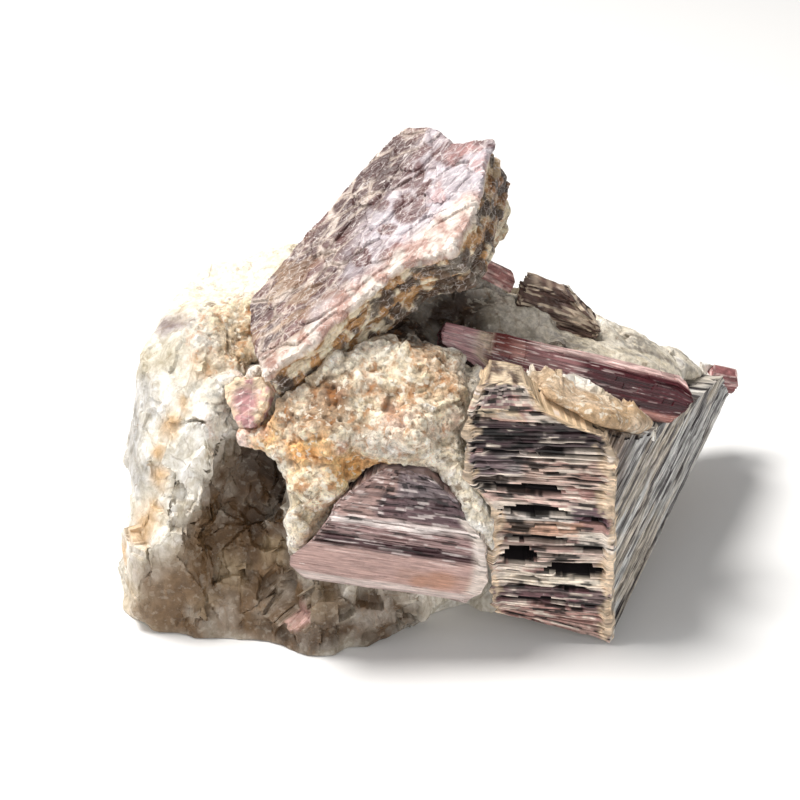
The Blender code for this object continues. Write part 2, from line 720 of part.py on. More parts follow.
def roughen(obj):
    mesh = obj.data
    points = coordinates(mesh)
    outs = normals(mesh)
    breaks, break_tree, tilts = scattered(FACET_SPACING, 5)
    grain_tree = scattered(GRAIN_SPACING, 6)[1]
    moved = points.copy()
    for index, (point, out) in enumerate(zip(points, outs)):
        crust = crust_share(point)
        _, near, _ = break_tree.find(point)
        tilt = tilts[near] - out * np.dot(tilts[near], out)
        facet = np.clip(np.dot(point - breaks[near], tilt) * FACET_TILT, -1.6, 1.2)
        grain_distance = grain_tree.find(point)[2]
        grain = GRAIN_HEIGHT * max(0.0, 1.0 - (grain_distance / (0.75 * GRAIN_SPACING)) ** 2)
        wave = noise.fractal(Vector(point) / 6.0, 1.0, 2.0, 3) * ROUGHNESS
        moved[index] += out * ((1 - crust) * facet + crust * grain + wave - SKIN)
    set_coordinates(mesh, moved)


def combine(target, tool, operation):
    modifier = target.modifiers.new(operation.lower(), "BOOLEAN")
    modifier.object = tool
    modifier.operation = operation
    modifier.solver = "EXACT"
    baked(target)
    bpy.data.objects.remove(tool, do_unlink=True)


def keep_largest_piece(obj):
    work = bmesh.new()
    work.from_mesh(obj.data)
    waiting = set(work.verts)
    pieces = []
    while waiting:
        front = [waiting.pop()]
        piece = list(front)
        while front:
            vert = front.pop()
            for edge in vert.link_edges:
                other = edge.other_vert(vert)
                if other in waiting:
                    waiting.remove(other)
                    front.append(other)
                    piece.append(other)
        pieces.append(piece)
    pieces.sort(key=len)
    for piece in pieces[:-1]:
        bmesh.ops.delete(work, geom=piece, context="VERTS")
    work.to_mesh(obj.data)
    work.free()


def floor_block():
    corners = []
    for x in (-60.0, 60.0):
        for y in (-45.0, 45.0):
            for z in (-12.0, 0.0):
                corners.append((x, y, z))
    return hull("floor_block", corners)


def remeshed(obj):
    modifier = obj.modifiers.new("remesh", "REMESH")
    modifier.mode = "VOXEL"
    modifier.voxel_size = VOXEL
    baked(obj)


def welded(obj):
    """Triangles only, with the shortest edges that a cut leaves closed up and no torn spot."""
    work = bmesh.new()
    work.from_mesh(obj.data)
    bmesh.ops.triangulate(work, faces=work.faces)
    bmesh.ops.remove_doubles(work, verts=work.verts, dist=WELD)
    bmesh.ops.dissolve_degenerate(work, dist=WELD / 2, edges=work.edges)
    torn = {vert for edge in work.edges if not edge.is_manifold for vert in edge.verts}
    bmesh.ops.delete(work, geom=list(torn), context="VERTS")
    rims = [edge for edge in work.edges if edge.is_boundary]
    bmesh.ops.holes_fill(work, edges=rims)
    bmesh.ops.triangulate(work, faces=work.faces)
    work.to_mesh(obj.data)
    work.free()


def reduced(obj, triangles):
    welded(obj)
    now = sum(len(face.vertices) - 2 for face in obj.data.polygons)
    modifier = obj.modifiers.new("reduce", "DECIMATE")
    modifier.ratio = min(1.0, triangles / now)
    baked(obj)


def make_matrix():
    lumps = [hull("lump", corners) for corners in MATRIX_LUMPS]
    lumps += [knob(centre, radius) for centre, radius in MATRIX_KNOBS]
    matrix = joined("quartz_matrix", lumps)
    remeshed(matrix)
    roughen(matrix)
    remeshed(matrix)
    reduced(matrix, LUMP_TRIANGLES)
    rooms = (
        grown("plate_room", PLATE_OUTLINES, PLATE_POINTS, place_plate),
        grown("book_room", BOOK_OUTLINES, BOOK_POINTS, place_book),
        grown("wedge_room", WEDGE_OUTLINES, WEDGE_POINTS, place_wedge),
        lath_room(),
        grown("back_book_room", BACK_BOOK_OUTLINES, BACK_BOOK_POINTS, place_back_book),
        grown("back_lath_room", BACK_LATH_OUTLINES, BACK_LATH_POINTS, place_back_lath),
        grown("prism_room", PRISM_OUTLINES, PRISM_POINTS, place_prism),
        rosette_envelope(),
    )
    for room in rooms:
        combine(matrix, room, "DIFFERENCE")
    reduced(matrix, MATRIX_TRIANGLES)
    welded(matrix)
    combine(matrix, floor_block(), "DIFFERENCE")
    keep_largest_piece(matrix)
    welded(matrix)
    return matrix


def lath_room():
    """The lath's heights are shares of its face, so its room is widened by hand."""
    corners = []
    for along, back in ((-0.6, -0.6), (34.6, -0.6), (33.6, 5.6), (-0.6, 5.4)):
        low, high = lath_edges(along)
        base = np.array(LATH_LEFT) + LATH_ALONG * along + LATH_BACK * back
        corners.append(base + LATH_UP * (min(low, -3.4) - 0.5))
        corners.append(base + LATH_UP * (max(high, 3.0) + 0.5))
    return hull("lath_room", corners)


COLOURS = {
    "quartz_matrix": (0.62, 0.55, 0.45, 1.0),
    "lepidolite_plate": (0.27, 0.17, 0.22, 1.0),
    "lepidolite_book": (0.36, 0.25, 0.31, 1.0),
    "lepidolite_wedge": (0.42, 0.30, 0.36, 1.0),
    "lepidolite_lath": (0.32, 0.17, 0.24, 1.0),
    "back_mica_book": (0.10, 0.08, 0.11, 1.0),
    "back_lath": (0.44, 0.27, 0.27, 1.0),
    "pink_rosette": (0.60, 0.38, 0.42, 1.0),
    "corner_prism": (0.56, 0.40, 0.42, 1.0),
}


def paint(obj):
    material = bpy.data.materials.new(obj.name)
    material.use_nodes = True
    shader = material.node_tree.nodes["Principled BSDF"]
    shader.inputs["Base Color"].default_value = COLOURS[obj.name]
    shader.inputs["Roughness"].default_value = 0.45
    obj.data.materials.clear()
    obj.data.materials.append(material)


def centre_and_scale(objects):
    """The middle of the footprint goes to the origin, and the base to the ground."""
    every = np.concatenate([coordinates(obj.data) for obj in objects])
    low = every.min(axis=0)
    high = every.max(axis=0)
    shift = np.array(((low[0] + high[0]) / 2, (low[1] + high[1]) / 2, low[2]))
    for obj in objects:
        set_coordinates(obj.data, (coordinates(obj.data) - shift) * METRES_PER_MM)


clear_scene()
crystals = [
    make_plate(),
    make_book(),
    make_wedge(),
    make_lath(),
    make_back_book(),
    make_back_lath(),
    make_rosette(),
    make_prism(),
]
specimen = [make_matrix()] + crystals
for crystal in specimen:
    paint(crystal)
centre_and_scale(specimen)
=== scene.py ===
import bmesh
import bpy
import numpy as np
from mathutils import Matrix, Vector


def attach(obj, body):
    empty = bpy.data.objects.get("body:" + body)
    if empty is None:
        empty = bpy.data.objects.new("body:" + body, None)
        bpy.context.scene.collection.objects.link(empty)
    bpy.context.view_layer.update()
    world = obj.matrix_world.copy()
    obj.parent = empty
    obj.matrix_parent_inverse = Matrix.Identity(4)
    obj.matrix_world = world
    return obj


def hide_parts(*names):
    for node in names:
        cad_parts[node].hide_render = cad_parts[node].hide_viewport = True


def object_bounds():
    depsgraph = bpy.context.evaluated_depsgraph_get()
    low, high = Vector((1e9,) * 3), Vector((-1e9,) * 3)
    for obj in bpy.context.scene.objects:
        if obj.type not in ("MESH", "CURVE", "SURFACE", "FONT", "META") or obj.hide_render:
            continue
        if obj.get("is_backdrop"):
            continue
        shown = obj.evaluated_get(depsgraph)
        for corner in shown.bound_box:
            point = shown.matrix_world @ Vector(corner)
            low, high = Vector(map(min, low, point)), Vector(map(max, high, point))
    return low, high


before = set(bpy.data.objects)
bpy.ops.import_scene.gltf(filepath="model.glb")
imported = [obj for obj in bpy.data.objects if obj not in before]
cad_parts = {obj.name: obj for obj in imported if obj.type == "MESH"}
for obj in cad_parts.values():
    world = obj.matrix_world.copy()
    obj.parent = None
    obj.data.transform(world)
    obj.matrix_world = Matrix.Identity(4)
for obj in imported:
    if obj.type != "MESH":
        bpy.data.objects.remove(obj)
bounds_at_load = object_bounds()

# Lengths below are in the specimen's own millimetres; ORIGIN is where the row frame's origin lies in them
MM = 0.001
ORIGIN = np.array((2.1015, 2.8637, 0.0))

# Camera: about 30 degrees above level, a little under 0.3 m away
CAMERA_TARGET = (-3.75, 0.0, 25.0)
CAMERA_ELEVATION = np.radians(30.0)
CAMERA_DISTANCE = 287.56
LENS_MM = 100.0

MATRIX_VOXEL = 0.31
MATRIX_TRIANGLES = 188000
SHARP_ANGLE = np.radians(28)
PLATE_VOXEL = 0.21
ROSETTE_VOXEL = 0.16
GAP_CLOSING = 0.3
# Runs from here on mark the flat ends of a layered crystal
CAP_RUN = 500.0
CAP_ROUGHNESS = 0.7
CAP_RINGS = 7
# The rounding of a layer's edges
BEVEL = 0.02
# Keeps the noise of one layer apart from the next
ROW_STEP = 7.31


def rgb(red, green, blue):
    """A display colour from 0 to 255 as linear values."""
    share = np.array((red, green, blue)) / 255.0
    return np.where(share <= 0.04045, share / 12.92, ((share + 0.055) / 1.055) ** 2.4)


def unit(vector):
    vector = np.asarray(vector, float)
    return vector / np.linalg.norm(vector)


def columns(*parts):
    """Arrays and single numbers as the columns of one array."""
    return np.stack(np.broadcast_arrays(*parts), axis=1)


def blend(first, second, share):
    return first * (1 - share[:, None]) + second * share[:, None]


# Noise on arrays of points


def hashed(ix, iy, iz, seed):
    mixed = ix * 73856093 ^ iy * 19349663 ^ iz * 83492791 ^ seed * 2654435761
    mixed = (mixed ^ (mixed >> 13)) * 1274126177 & 0x7FFFFFFF
    mixed = (mixed ^ (mixed >> 16)) * 668265263 & 0x7FFFFFFF
    return (mixed & 0xFFFFF) / float(0xFFFFF)


def value_noise(points, size, seed):
    """Smooth noise from 0 to 1; size is one length or three."""
    cell = np.asarray(points) / size
    base = np.floor(cell).astype(np.int64)
    part = cell - base
    part = part * part * (3 - 2 * part)
    total = np.zeros(len(cell))
    for dx in (0, 1):
        for dy in (0, 1):
            for dz in (0, 1):
                weight = np.abs(np.subtract((1 - dx, 1 - dy, 1 - dz), part)).prod(axis=1)
                total += weight * hashed(base[:, 0] + dx, base[:, 1] + dy, base[:, 2] + dz, seed)
    return total


def fractal(points, size, seed, octaves=3):
    total = np.zeros(len(points))
    weight = 0.0
    for octave in range(octaves):
        share = 0.5**octave
        total += share * value_noise(points, np.asarray(size) / 2**octave, seed + octave)
        weight += share
    return total / weight


def wobble(points, size, seed):
    """A shift between -0.5 and 0.5 along each axis."""
    return columns(*(fractal(points, size, seed + 4 * axis) for axis in range(3))) - 0.5


def cells(points, size, seed):
    """Distances to the nearest two scattered seeds, a number for the nearest, and the way from it."""
    scaled = np.asarray(points) / size
    base = np.floor(scaled).astype(np.int64)
    nearest = np.full(len(scaled), 9.0)
    second = np.full(len(scaled), 9.0)
    number = np.zeros(len(scaled))
    way = np.zeros_like(scaled)
    for dx in (-1, 0, 1):
        for dy in (-1, 0, 1):
            for dz in (-1, 0, 1):
                corner = base + (dx, dy, dz)
                place = [hashed(*corner.T, seed + axis) for axis in range(3)]
                offset = scaled - corner - np.stack(place, axis=1)
                distance = np.linalg.norm(offset, axis=1)
                closer = distance < nearest
                second = np.where(closer, nearest, np.minimum(second, distance))
                number = np.where(closer, hashed(*corner.T, seed + 7), number)
                way = np.where(closer[:, None], offset, way)
                nearest = np.minimum(nearest, distance)
    return nearest, second, number, way * size


def facets(points, outs, size, seed):
    """Height of flat broken faces: each cell is a tilted plane."""
    _, _, number, way = cells(points, size, seed)
    turn = number * 40.0
    tilt = columns(np.sin(turn), np.cos(turn * 1.7), np.sin(turn * 2.3 + 1.0))
    tilt -= outs * np.sum(tilt * outs, axis=1)[:, None]
    return np.sum(way * tilt, axis=1) + (number - 0.5) * size * 0.35


def dome(distance):
    """A round grain's height, from 1 at its middle to 0 at its rim."""
    return 1.0 - np.clip(distance, 0.0, 1.0) ** 2


def ramp(low, high, value):
    share = np.clip((value - low) / (high - low), 0.0, 1.0)
    return share * share * (3 - 2 * share)


def near(points, spots, soft):
    """1 inside any of the round spots (x, y, z, radius), falling to 0 outside."""
    found = np.zeros(len(points))
    for *centre, radius in spots:
        distance = np.linalg.norm(points - centre, axis=1) / radius
        found = np.maximum(found, ramp(1.0 + soft, 1.0 - soft, distance))
    return found


# Meshes


def link(name, mesh):
    obj = bpy.data.objects.new(name, mesh)
    bpy.context.scene.collection.objects.link(obj)
    return obj


def mesh_of(name, points, faces):
    mesh = bpy.data.meshes.new(name)
    mesh.from_pydata([tuple(p) for p in (points - ORIGIN) * MM], [], faces)
    obj = link(name, mesh)
    work = bmesh.new()
    work.from_mesh(mesh)
    bmesh.ops.recalc_face_normals(work, faces=work.faces)
    if work.calc_volume(signed=True) < 0:
        bmesh.ops.reverse_faces(work, faces=work.faces)
    work.to_mesh(mesh)
    work.free()
    return obj


def fine_copy(node, name, voxel):
    """A finely divided copy of a solid, to be given its surface detail."""
    obj = link(name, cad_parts[node].data.copy())
    obj.data.materials.clear()
    modifier = obj.modifiers.new("fine", "REMESH")
    modifier.mode = "VOXEL"
    modifier.voxel_size = voxel * MM
    graph = bpy.context.evaluated_depsgraph_get()
    mesh = bpy.data.meshes.new_from_object(obj.evaluated_get(graph))
    obj.modifiers.clear()
    obj.data = mesh
    return obj


def reduced(obj, triangles):
    """Fewer triangles, kept where the surface turns most."""
    now = sum(len(face.vertices) - 2 for face in obj.data.polygons)
    modifier = obj.modifiers.new("reduce", "DECIMATE")
    modifier.ratio = min(1.0, triangles / now)
    graph = bpy.context.evaluated_depsgraph_get()
    mesh = bpy.data.meshes.new_from_object(obj.evaluated_get(graph))
    obj.modifiers.clear()
    obj.data = mesh


def points_of(obj):
    flat = np.empty(len(obj.data.vertices) * 3)
    obj.data.vertices.foreach_get("co", flat)
    return flat.reshape(-1, 3) / MM + ORIGIN


def outs_of(obj):
    flat = np.empty(len(obj.data.vertices) * 3)
    obj.data.vertices.foreach_get("normal", flat)
    return flat.reshape(-1, 3)


def set_points(obj, points):
    obj.data.vertices.foreach_set("co", ((points - ORIGIN) * MM).ravel())
    obj.data.update()


def set_colour(obj, colours):
    layer = obj.data.color_attributes.new("tint", "FLOAT_COLOR", "POINT")
    full = np.ones((len(colours), 4))
    full[:, :3] = np.clip(colours, 0.0, 1.0)
    layer.data.foreach_set("color", full.ravel())


def set_place(obj, places):
    layer = obj.data.attributes.new("place", "FLOAT_VECTOR", "POINT")
    layer.data.foreach_set("vector", np.ascontiguousarray(places, float).ravel())


def averager(obj):
    """A function that gives each vertex the mean of its neighbours' values."""
    count = len(obj.data.vertices)
    ends = np.empty(len(obj.data.edges) * 2, np.int64)
    obj.data.edges.foreach_get("vertices", ends)
    first, second = ends.reshape(-1, 2).T
    degree = np.bincount(ends, minlength=count)

    def average(values):
        columns = []
        for column in values.T:
            total = np.bincount(first, column[second], count) + np.bincount(second, column[first], count)
            columns.append(total / degree)
        return np.stack(columns, axis=1)

    return average


def smoothed(obj, times, share):
    """Evens the surface out; share is from 0 to 1 for each vertex."""
    average = averager(obj)
    points = points_of(obj)
    for _ in range(times):
        points += (average(points) - points) * share[:, None]
    set_points(obj, points)


def hollows(obj, times):
    """How deep each vertex lies in a hollow, in millimetres; it is negative on edges."""
    average = averager(obj)
    even = points_of(obj)
    for _ in range(times):
        even = average(even)
    return np.sum((even - points_of(obj)) * outs_of(obj), axis=1)


def finish_piece(obj, node, material):
    obj.data.materials.append(material)
    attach(obj, "root")
    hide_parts(node)


# Layered crystals


def outline_at(keys, height):
    heights = [key[0] for key in keys]
    corners = np.array([key[1] for key in keys], float)
    flat = corners.reshape(len(keys), -1)
    return np.array([np.interp(height, heights, column) for column in flat.T]).reshape(-1, 2)


def sampled(corners, per_side):
    points = []
    for side, count in enumerate(per_side):
        start = corners[side]
        end = corners[(side + 1) % len(corners)]
        share = (np.arange(count) / count)[:, None]
        points.append(start + (end - start) * share)
    return np.concatenate(points)


def side_places(per_side):
    sides = np.concatenate([np.full(count, side) for side, count in enumerate(per_side)])
    shares = np.concatenate([np.arange(count) / count for count in per_side])
    return sides, shares


def inward(points):
    along = np.roll(points, -2, axis=0) - np.roll(points, 2, axis=0)
    into = columns(-along[:, 1], along[:, 0])
    into /= np.linalg.norm(into, axis=1)[:, None]
    x, y = points.T
    turn = np.sum(x * np.roll(y, -1) - np.roll(x, -1) * y)
    return into if turn > 0 else -into


def layered(name, keys, per_side, levels, depth_at, place, bevel, front, sway):
    """A body of layers, and for each vertex its run round the outline, height and depth."""
    sides, shares = side_places(per_side)
    rings = []
    places = []
    for layer, (low, high) in enumerate(zip(levels[:-1], levels[1:])):
        middle = (low + high) / 2
        for height in (low + bevel, high - bevel):
            points = sampled(outline_at(keys, height), per_side)
            step = np.linalg.norm(np.roll(points, -1, axis=0) - points, axis=1)
            run = np.concatenate([[0.0], np.cumsum(step)[:-1]])
            run = np.where(sides == 0, shares * front, front + run - run[per_side[0]])
            depth = depth_at(layer, middle, sides, shares, run)
            points = points + inward(points) * depth[:, None]
            wave = line_noise(run, 7.0, 77, middle / 21.0) + line_noise(run, 2.6, 78, middle / 12.0)
            rings.append(place(points[:, 0], points[:, 1], height + sway * (wave - 1.0)))
            places.append(columns(run, middle, depth))
    return capped(name, rings, places)


def capped(name, rings, places):
    """Closes a pile of rings with inner rings at both ends."""
    count = len(rings[0])
    for end in (0, -1):
        outer = rings[end]
        middle = outer.mean(axis=0)
        for step in range(1, CAP_RINGS):
            inner = middle + (outer - middle) * (1 - step / CAP_RINGS)
            spot = places[end].copy()
            spot[:, 0] = CAP_RUN + inner[:, 0]
            spot[:, 2] = inner[:, 1]
            inner[:, 2] += CAP_ROUGHNESS * (fractal(inner, 1.4, 79) - 0.5)
            if end == 0:
                rings.insert(0, inner)
                places.insert(0, spot)
            else:
                rings.append(inner)
                places.append(spot)
    points = np.concatenate(rings + [rings[0].mean(axis=0)[None], rings[-1].mean(axis=0)[None]])
    spots = np.concatenate(places + [places[1][:1], places[-2][:1]])
    low = (np.arange(len(rings) - 1)[:, None] * count + np.arange(count)).ravel()
    turned = (np.arange(len(rings) - 1)[:, None] * count + (np.arange(count) + 1) % count).ravel()
    faces = np.stack([low, turned, turned + count, low + count], axis=1).tolist()
    last = (len(rings) - 1) * count
    for first, tip in ((0, len(rings) * count), (last, len(rings) * count + 1)):
        faces += [(first + step, first + (step + 1) % count, tip) for step in range(count)]
    return mesh_of(name, points, faces), spots


def line_noise(run, size, seed, row=0.0):
    """Noise along the outline, new for every row."""
    return value_noise(columns(run, row * ROW_STEP, 0.0), (size, 1.0, 1.0), seed)


def unrolled(run, start):
    """The run on the flat ends too, as the distance from the start."""
    return np.where(run > CAP_RUN / 2, run - CAP_RUN - start, run)


def uneven_levels(low, high, thickness, seed):
    rng = np.random.default_rng(seed)
    count = max(2, int((high - low) / thickness))
    steps = rng.uniform(0.55, 1.45, count)
    edges = np.concatenate([[0.0], np.cumsum(steps)])
    return low + (high - low) * edges / edges[-1]


# Shared materials

MICA_FLECK = rgb(226, 214, 208)


class Nodes:
    """A short way to write a material's nodes."""

    def __init__(self, name):
        self.material = bpy.data.materials.new(name)
        self.material.use_nodes = True
        self.tree = self.material.node_tree
        self.shader = self.tree.nodes["Principled BSDF"]

    def put(self, node, inputs):
        """Sets a node's inputs, by name or number: a socket is joined, a value is set."""
        for key, value in inputs.items():
            socket = node.inputs[key]
            if isinstance(value, bpy.types.NodeSocket):
                self.tree.links.new(value, socket)
            elif socket.type == "RGBA":
                socket.default_value = (*value, 1.0)
            else:
                socket.default_value = value

    def add(self, kind, inputs, **settings):
        node = self.tree.nodes.new(kind)
        for key, value in settings.items():
            setattr(node, key, value)
        self.put(node, inputs)
        return node

    def attribute(self, name, output):
        return self.add("ShaderNodeAttribute", {}, attribute_name=name).outputs[output]

    def scaled(self, vector, scale):
        return self.add("ShaderNodeVectorMath", {0: vector, 1: scale}, operation="MULTIPLY").outputs[0]

    def parts(self, vector):
        return self.add("ShaderNodeSeparateXYZ", {0: vector}).outputs

    def noise(self, vector, scale, detail, roughness, distortion=0.0):
        inputs = {"Vector": vector, "Scale": scale, "Detail": detail, "Roughness": roughness}
        return self.add("ShaderNodeTexNoise", {**inputs, "Distortion": distortion}).outputs["Fac"]

    def voronoi(self, vector, scale, feature="DISTANCE_TO_EDGE"):
        inputs = {"Vector": vector, "Scale": scale}
        return self.add("ShaderNodeTexVoronoi", inputs, feature=feature).outputs["Distance"]

    def ramp(self, value, low, high, bottom=0.0, top=1.0):
        inputs = {"Value": value, "From Min": low, "From Max": high, "To Min": bottom, "To Max": top}
        return self.add("ShaderNodeMapRange", inputs, interpolation_type="SMOOTHSTEP").outputs["Result"]

    def maths(self, operation, first, second):
        return self.add("ShaderNodeMath", {0: first, 1: second}, operation=operation).outputs[0]

    def times(self, first, second):
        return self.maths("MULTIPLY", first, second)

    def mix(self, share, first, second, blend="MIX"):
        inputs = {0: share, 6: first, 7: second}
        return self.add("ShaderNodeMix", inputs, data_type="RGBA", blend_type=blend).outputs[2]

    def tinted(self, first, second):
        return self.mix(1.0, first, second, "MULTIPLY")

    def grey(self, value):
        return self.add("ShaderNodeCombineColor", {0: value, 1: value, 2: value}).outputs[0]

    def bump(self, height, distance, strength, under=None):
        inputs = {"Strength": strength, "Distance": distance, "Height": height}
        if under is not None:
            inputs["Normal"] = under
        return self.add("ShaderNodeBump", inputs).outputs["Normal"]

    def object_vector(self):
        """Place in millimetres, so that scales read as grains for each millimetre."""
        vector = self.add("ShaderNodeTexCoord", {}).outputs["Object"]
        return self.scaled(vector, (1000.0, 1000.0, 1000.0))

    def finish(self, colour, roughness, normal, specular=0.5):
        surface = {"Base Color": colour, "Roughness": roughness, "Normal": normal}
        self.put(self.shader, {**surface, "Specular IOR Level": specular})
        return self.material


def mica_material(name, streak=(0.22, 3.4, 0.3), gloss=0.42, flecks=0.62, contrast=0.45, slots=0.0):
    """Mica with streaks along its layers and thin pale lines between; slots=1.0 paints shade into its slots.
    """
    nodes = Nodes(name)
    tint = nodes.attribute("tint", "Color")
    place = nodes.attribute("place", "Vector")
    lines = nodes.noise(nodes.scaled(place, streak), 1.0, 5.0, 0.62, 0.3)
    fine = nodes.noise(nodes.scaled(place, (streak[0] * 2.2, streak[1] * 3.1, 1.0)), 1.0, 4.0, 0.6)
    shade = nodes.ramp(lines, 0.3, 0.7, 1.0 - contrast, 1.0 + contrast)
    colour = nodes.tinted(tint, nodes.grey(shade))
    shade_fine = nodes.ramp(fine, 0.3, 0.7, 0.8, 1.2)
    colour = nodes.tinted(colour, nodes.grey(shade_fine))
    lit = nodes.ramp(nodes.attribute("tint", "Fac"), 0.01, 0.12)
    pale = nodes.times(nodes.ramp(fine, flecks, flecks + 0.08, 0.0, 0.7), lit)
    colour = nodes.mix(pale, colour, MICA_FLECK)
    # Painted shade deep in the slots
    slot_shade = nodes.ramp(nodes.parts(place)[2], 0.5, 1.0, 0.0, slots)
    colour = nodes.mix(slot_shade, colour, rgb(26, 20, 22))
    sheen = nodes.ramp(lines, 0.3, 0.7, gloss - 0.14, gloss + 0.18)
    rough = nodes.maths("MAXIMUM", sheen, nodes.times(slot_shade, 0.95))
    grain = nodes.noise(nodes.object_vector(), 2.6, 4.0, 0.6)
    height = nodes.maths("ADD", nodes.times(lines, 0.6), nodes.times(fine, 0.5))
    normal = nodes.bump(height, 0.00035, 0.55)
    return nodes.finish(colour, rough, nodes.bump(grain, 0.0002, 0.25, normal), 0.36)


def matrix_material():
    nodes = Nodes("quartz_and_albite")
    vector = nodes.object_vector()
    tint = nodes.attribute("tint", "Color")
    grainy, stained, _ = nodes.parts(nodes.attribute("place", "Vector"))
    plain = nodes.maths("SUBTRACT", 1.0, grainy)
    broad = nodes.noise(vector, 0.3, 6.0, 0.66, 0.5)
    cloud = nodes.noise(nodes.scaled(vector, (1.0, 1.0, 0.5)), 0.75, 6.0, 0.7, 0.8)
    grain = nodes.noise(vector, 1.5, 6.0, 0.72)
    sugar = nodes.voronoi(vector, 1.3, "F1")
    broad_tone = nodes.mix(nodes.ramp(broad, 0.3, 0.7), (0.84, 0.8, 0.72), (1.12, 1.12, 1.14))
    colour = nodes.tinted(tint, broad_tone)
    cloud_tone = nodes.mix(nodes.ramp(cloud, 0.34, 0.66), (0.68, 0.64, 0.56), (1.16, 1.18, 1.22))
    veil = nodes.tinted(colour, cloud_tone)
    colour = nodes.mix(plain, colour, veil)
    speck = nodes.ramp(grain, 0.32, 0.7, 0.62, 1.4)
    colour = nodes.mix(grainy, colour, nodes.tinted(colour, nodes.grey(speck)))
    rust = nodes.times(nodes.ramp(nodes.noise(vector, 0.62, 5.0, 0.7, 0.6), 0.48, 0.66), stained)
    colour = nodes.mix(nodes.times(rust, 0.75), colour, rgb(184, 120, 60))
    lines = nodes.voronoi(nodes.scaled(vector, (0.34, 0.34, 0.22)), 1.0)
    wide = nodes.ramp(nodes.noise(vector, 0.5, 4.0, 0.6), 0.45, 0.6)
    seams = nodes.times(nodes.ramp(lines, 0.045, 0.0), wide)
    colour = nodes.mix(nodes.times(seams, 0.45), colour, rgb(132, 104, 74))
    crumbs = nodes.times(nodes.ramp(nodes.noise(vector, 1.15, 3.0, 0.5), 0.56, 0.64), grainy)
    colour = nodes.mix(nodes.times(crumbs, 0.75), colour, rgb(246, 238, 222))
    dark = nodes.times(nodes.ramp(nodes.noise(vector, 0.7, 5.0, 0.68), 0.56, 0.66), grainy)
    colour = nodes.mix(nodes.times(dark, 0.7), colour, rgb(112, 82, 52))
    glassy = nodes.ramp(nodes.noise(vector, 0.4, 3.0, 0.5), 0.35, 0.65, 0.22, 0.5)
    rough = nodes.maths("ADD", glassy, nodes.times(grainy, 0.25))
    normal = nodes.bump(broad, 0.0009, 0.35)
    coarse = nodes.times(grain, nodes.maths("ADD", grainy, 0.22))
    normal = nodes.bump(coarse, 0.0006, 0.7, normal)
    sugary = nodes.times(sugar, nodes.maths("ADD", grainy, 0.1))
    normal = nodes.bump(sugary, 0.0003, 0.35, normal)
    return nodes.finish(colour, rough, normal)


# Matrix

CRUST_ZONES = (
    (-10, -17, 31, 13.5),
    (-20, -13, 32, 8),
    (2, -13, 33, 9),
    (5, -20, 21, 6.5),
    (8, 8, 46, 9),
    (-24.5, -2, 36.5, 5.5),
    (-13.5, -20.5, 19, 5.5),
)
MILD_ZONES = (
    (13, -17.5, 36.5, 5.5),
    (18, -18.5, 33.5, 5.5),
    (24, -17, 31.5, 5.5),
    (28.5, -10.5, 28.5, 5),
)
SMOOTH_ZONES = (
    (-26, 9, 38.5, 8),
    (12, 4, 34.5, 6),
    (24, 6, 29, 8),
    (31, 11.7, 23.6, 7),
    (37, 19, 18, 6),
)
STAINED_ZONES = (
    (-14, -18.5, 29, 9),
    (-8, -18, 26.5, 5),
    (-24, -3, 36, 7),
    (-3, -14, 34, 9),
    (-22, -15, 28, 6),
    (8, 8, 46, 8),
)
RIDGE = ((24, 3, 29, 7), (31, 9, 25, 7.5), (37, 17, 18.5, 6), (17, 3, 32, 4))
QUARTZ = rgb(234, 230, 221)
# Quartz breaks into upright cells
UPRIGHT = (1.0, 1.0, 0.6)
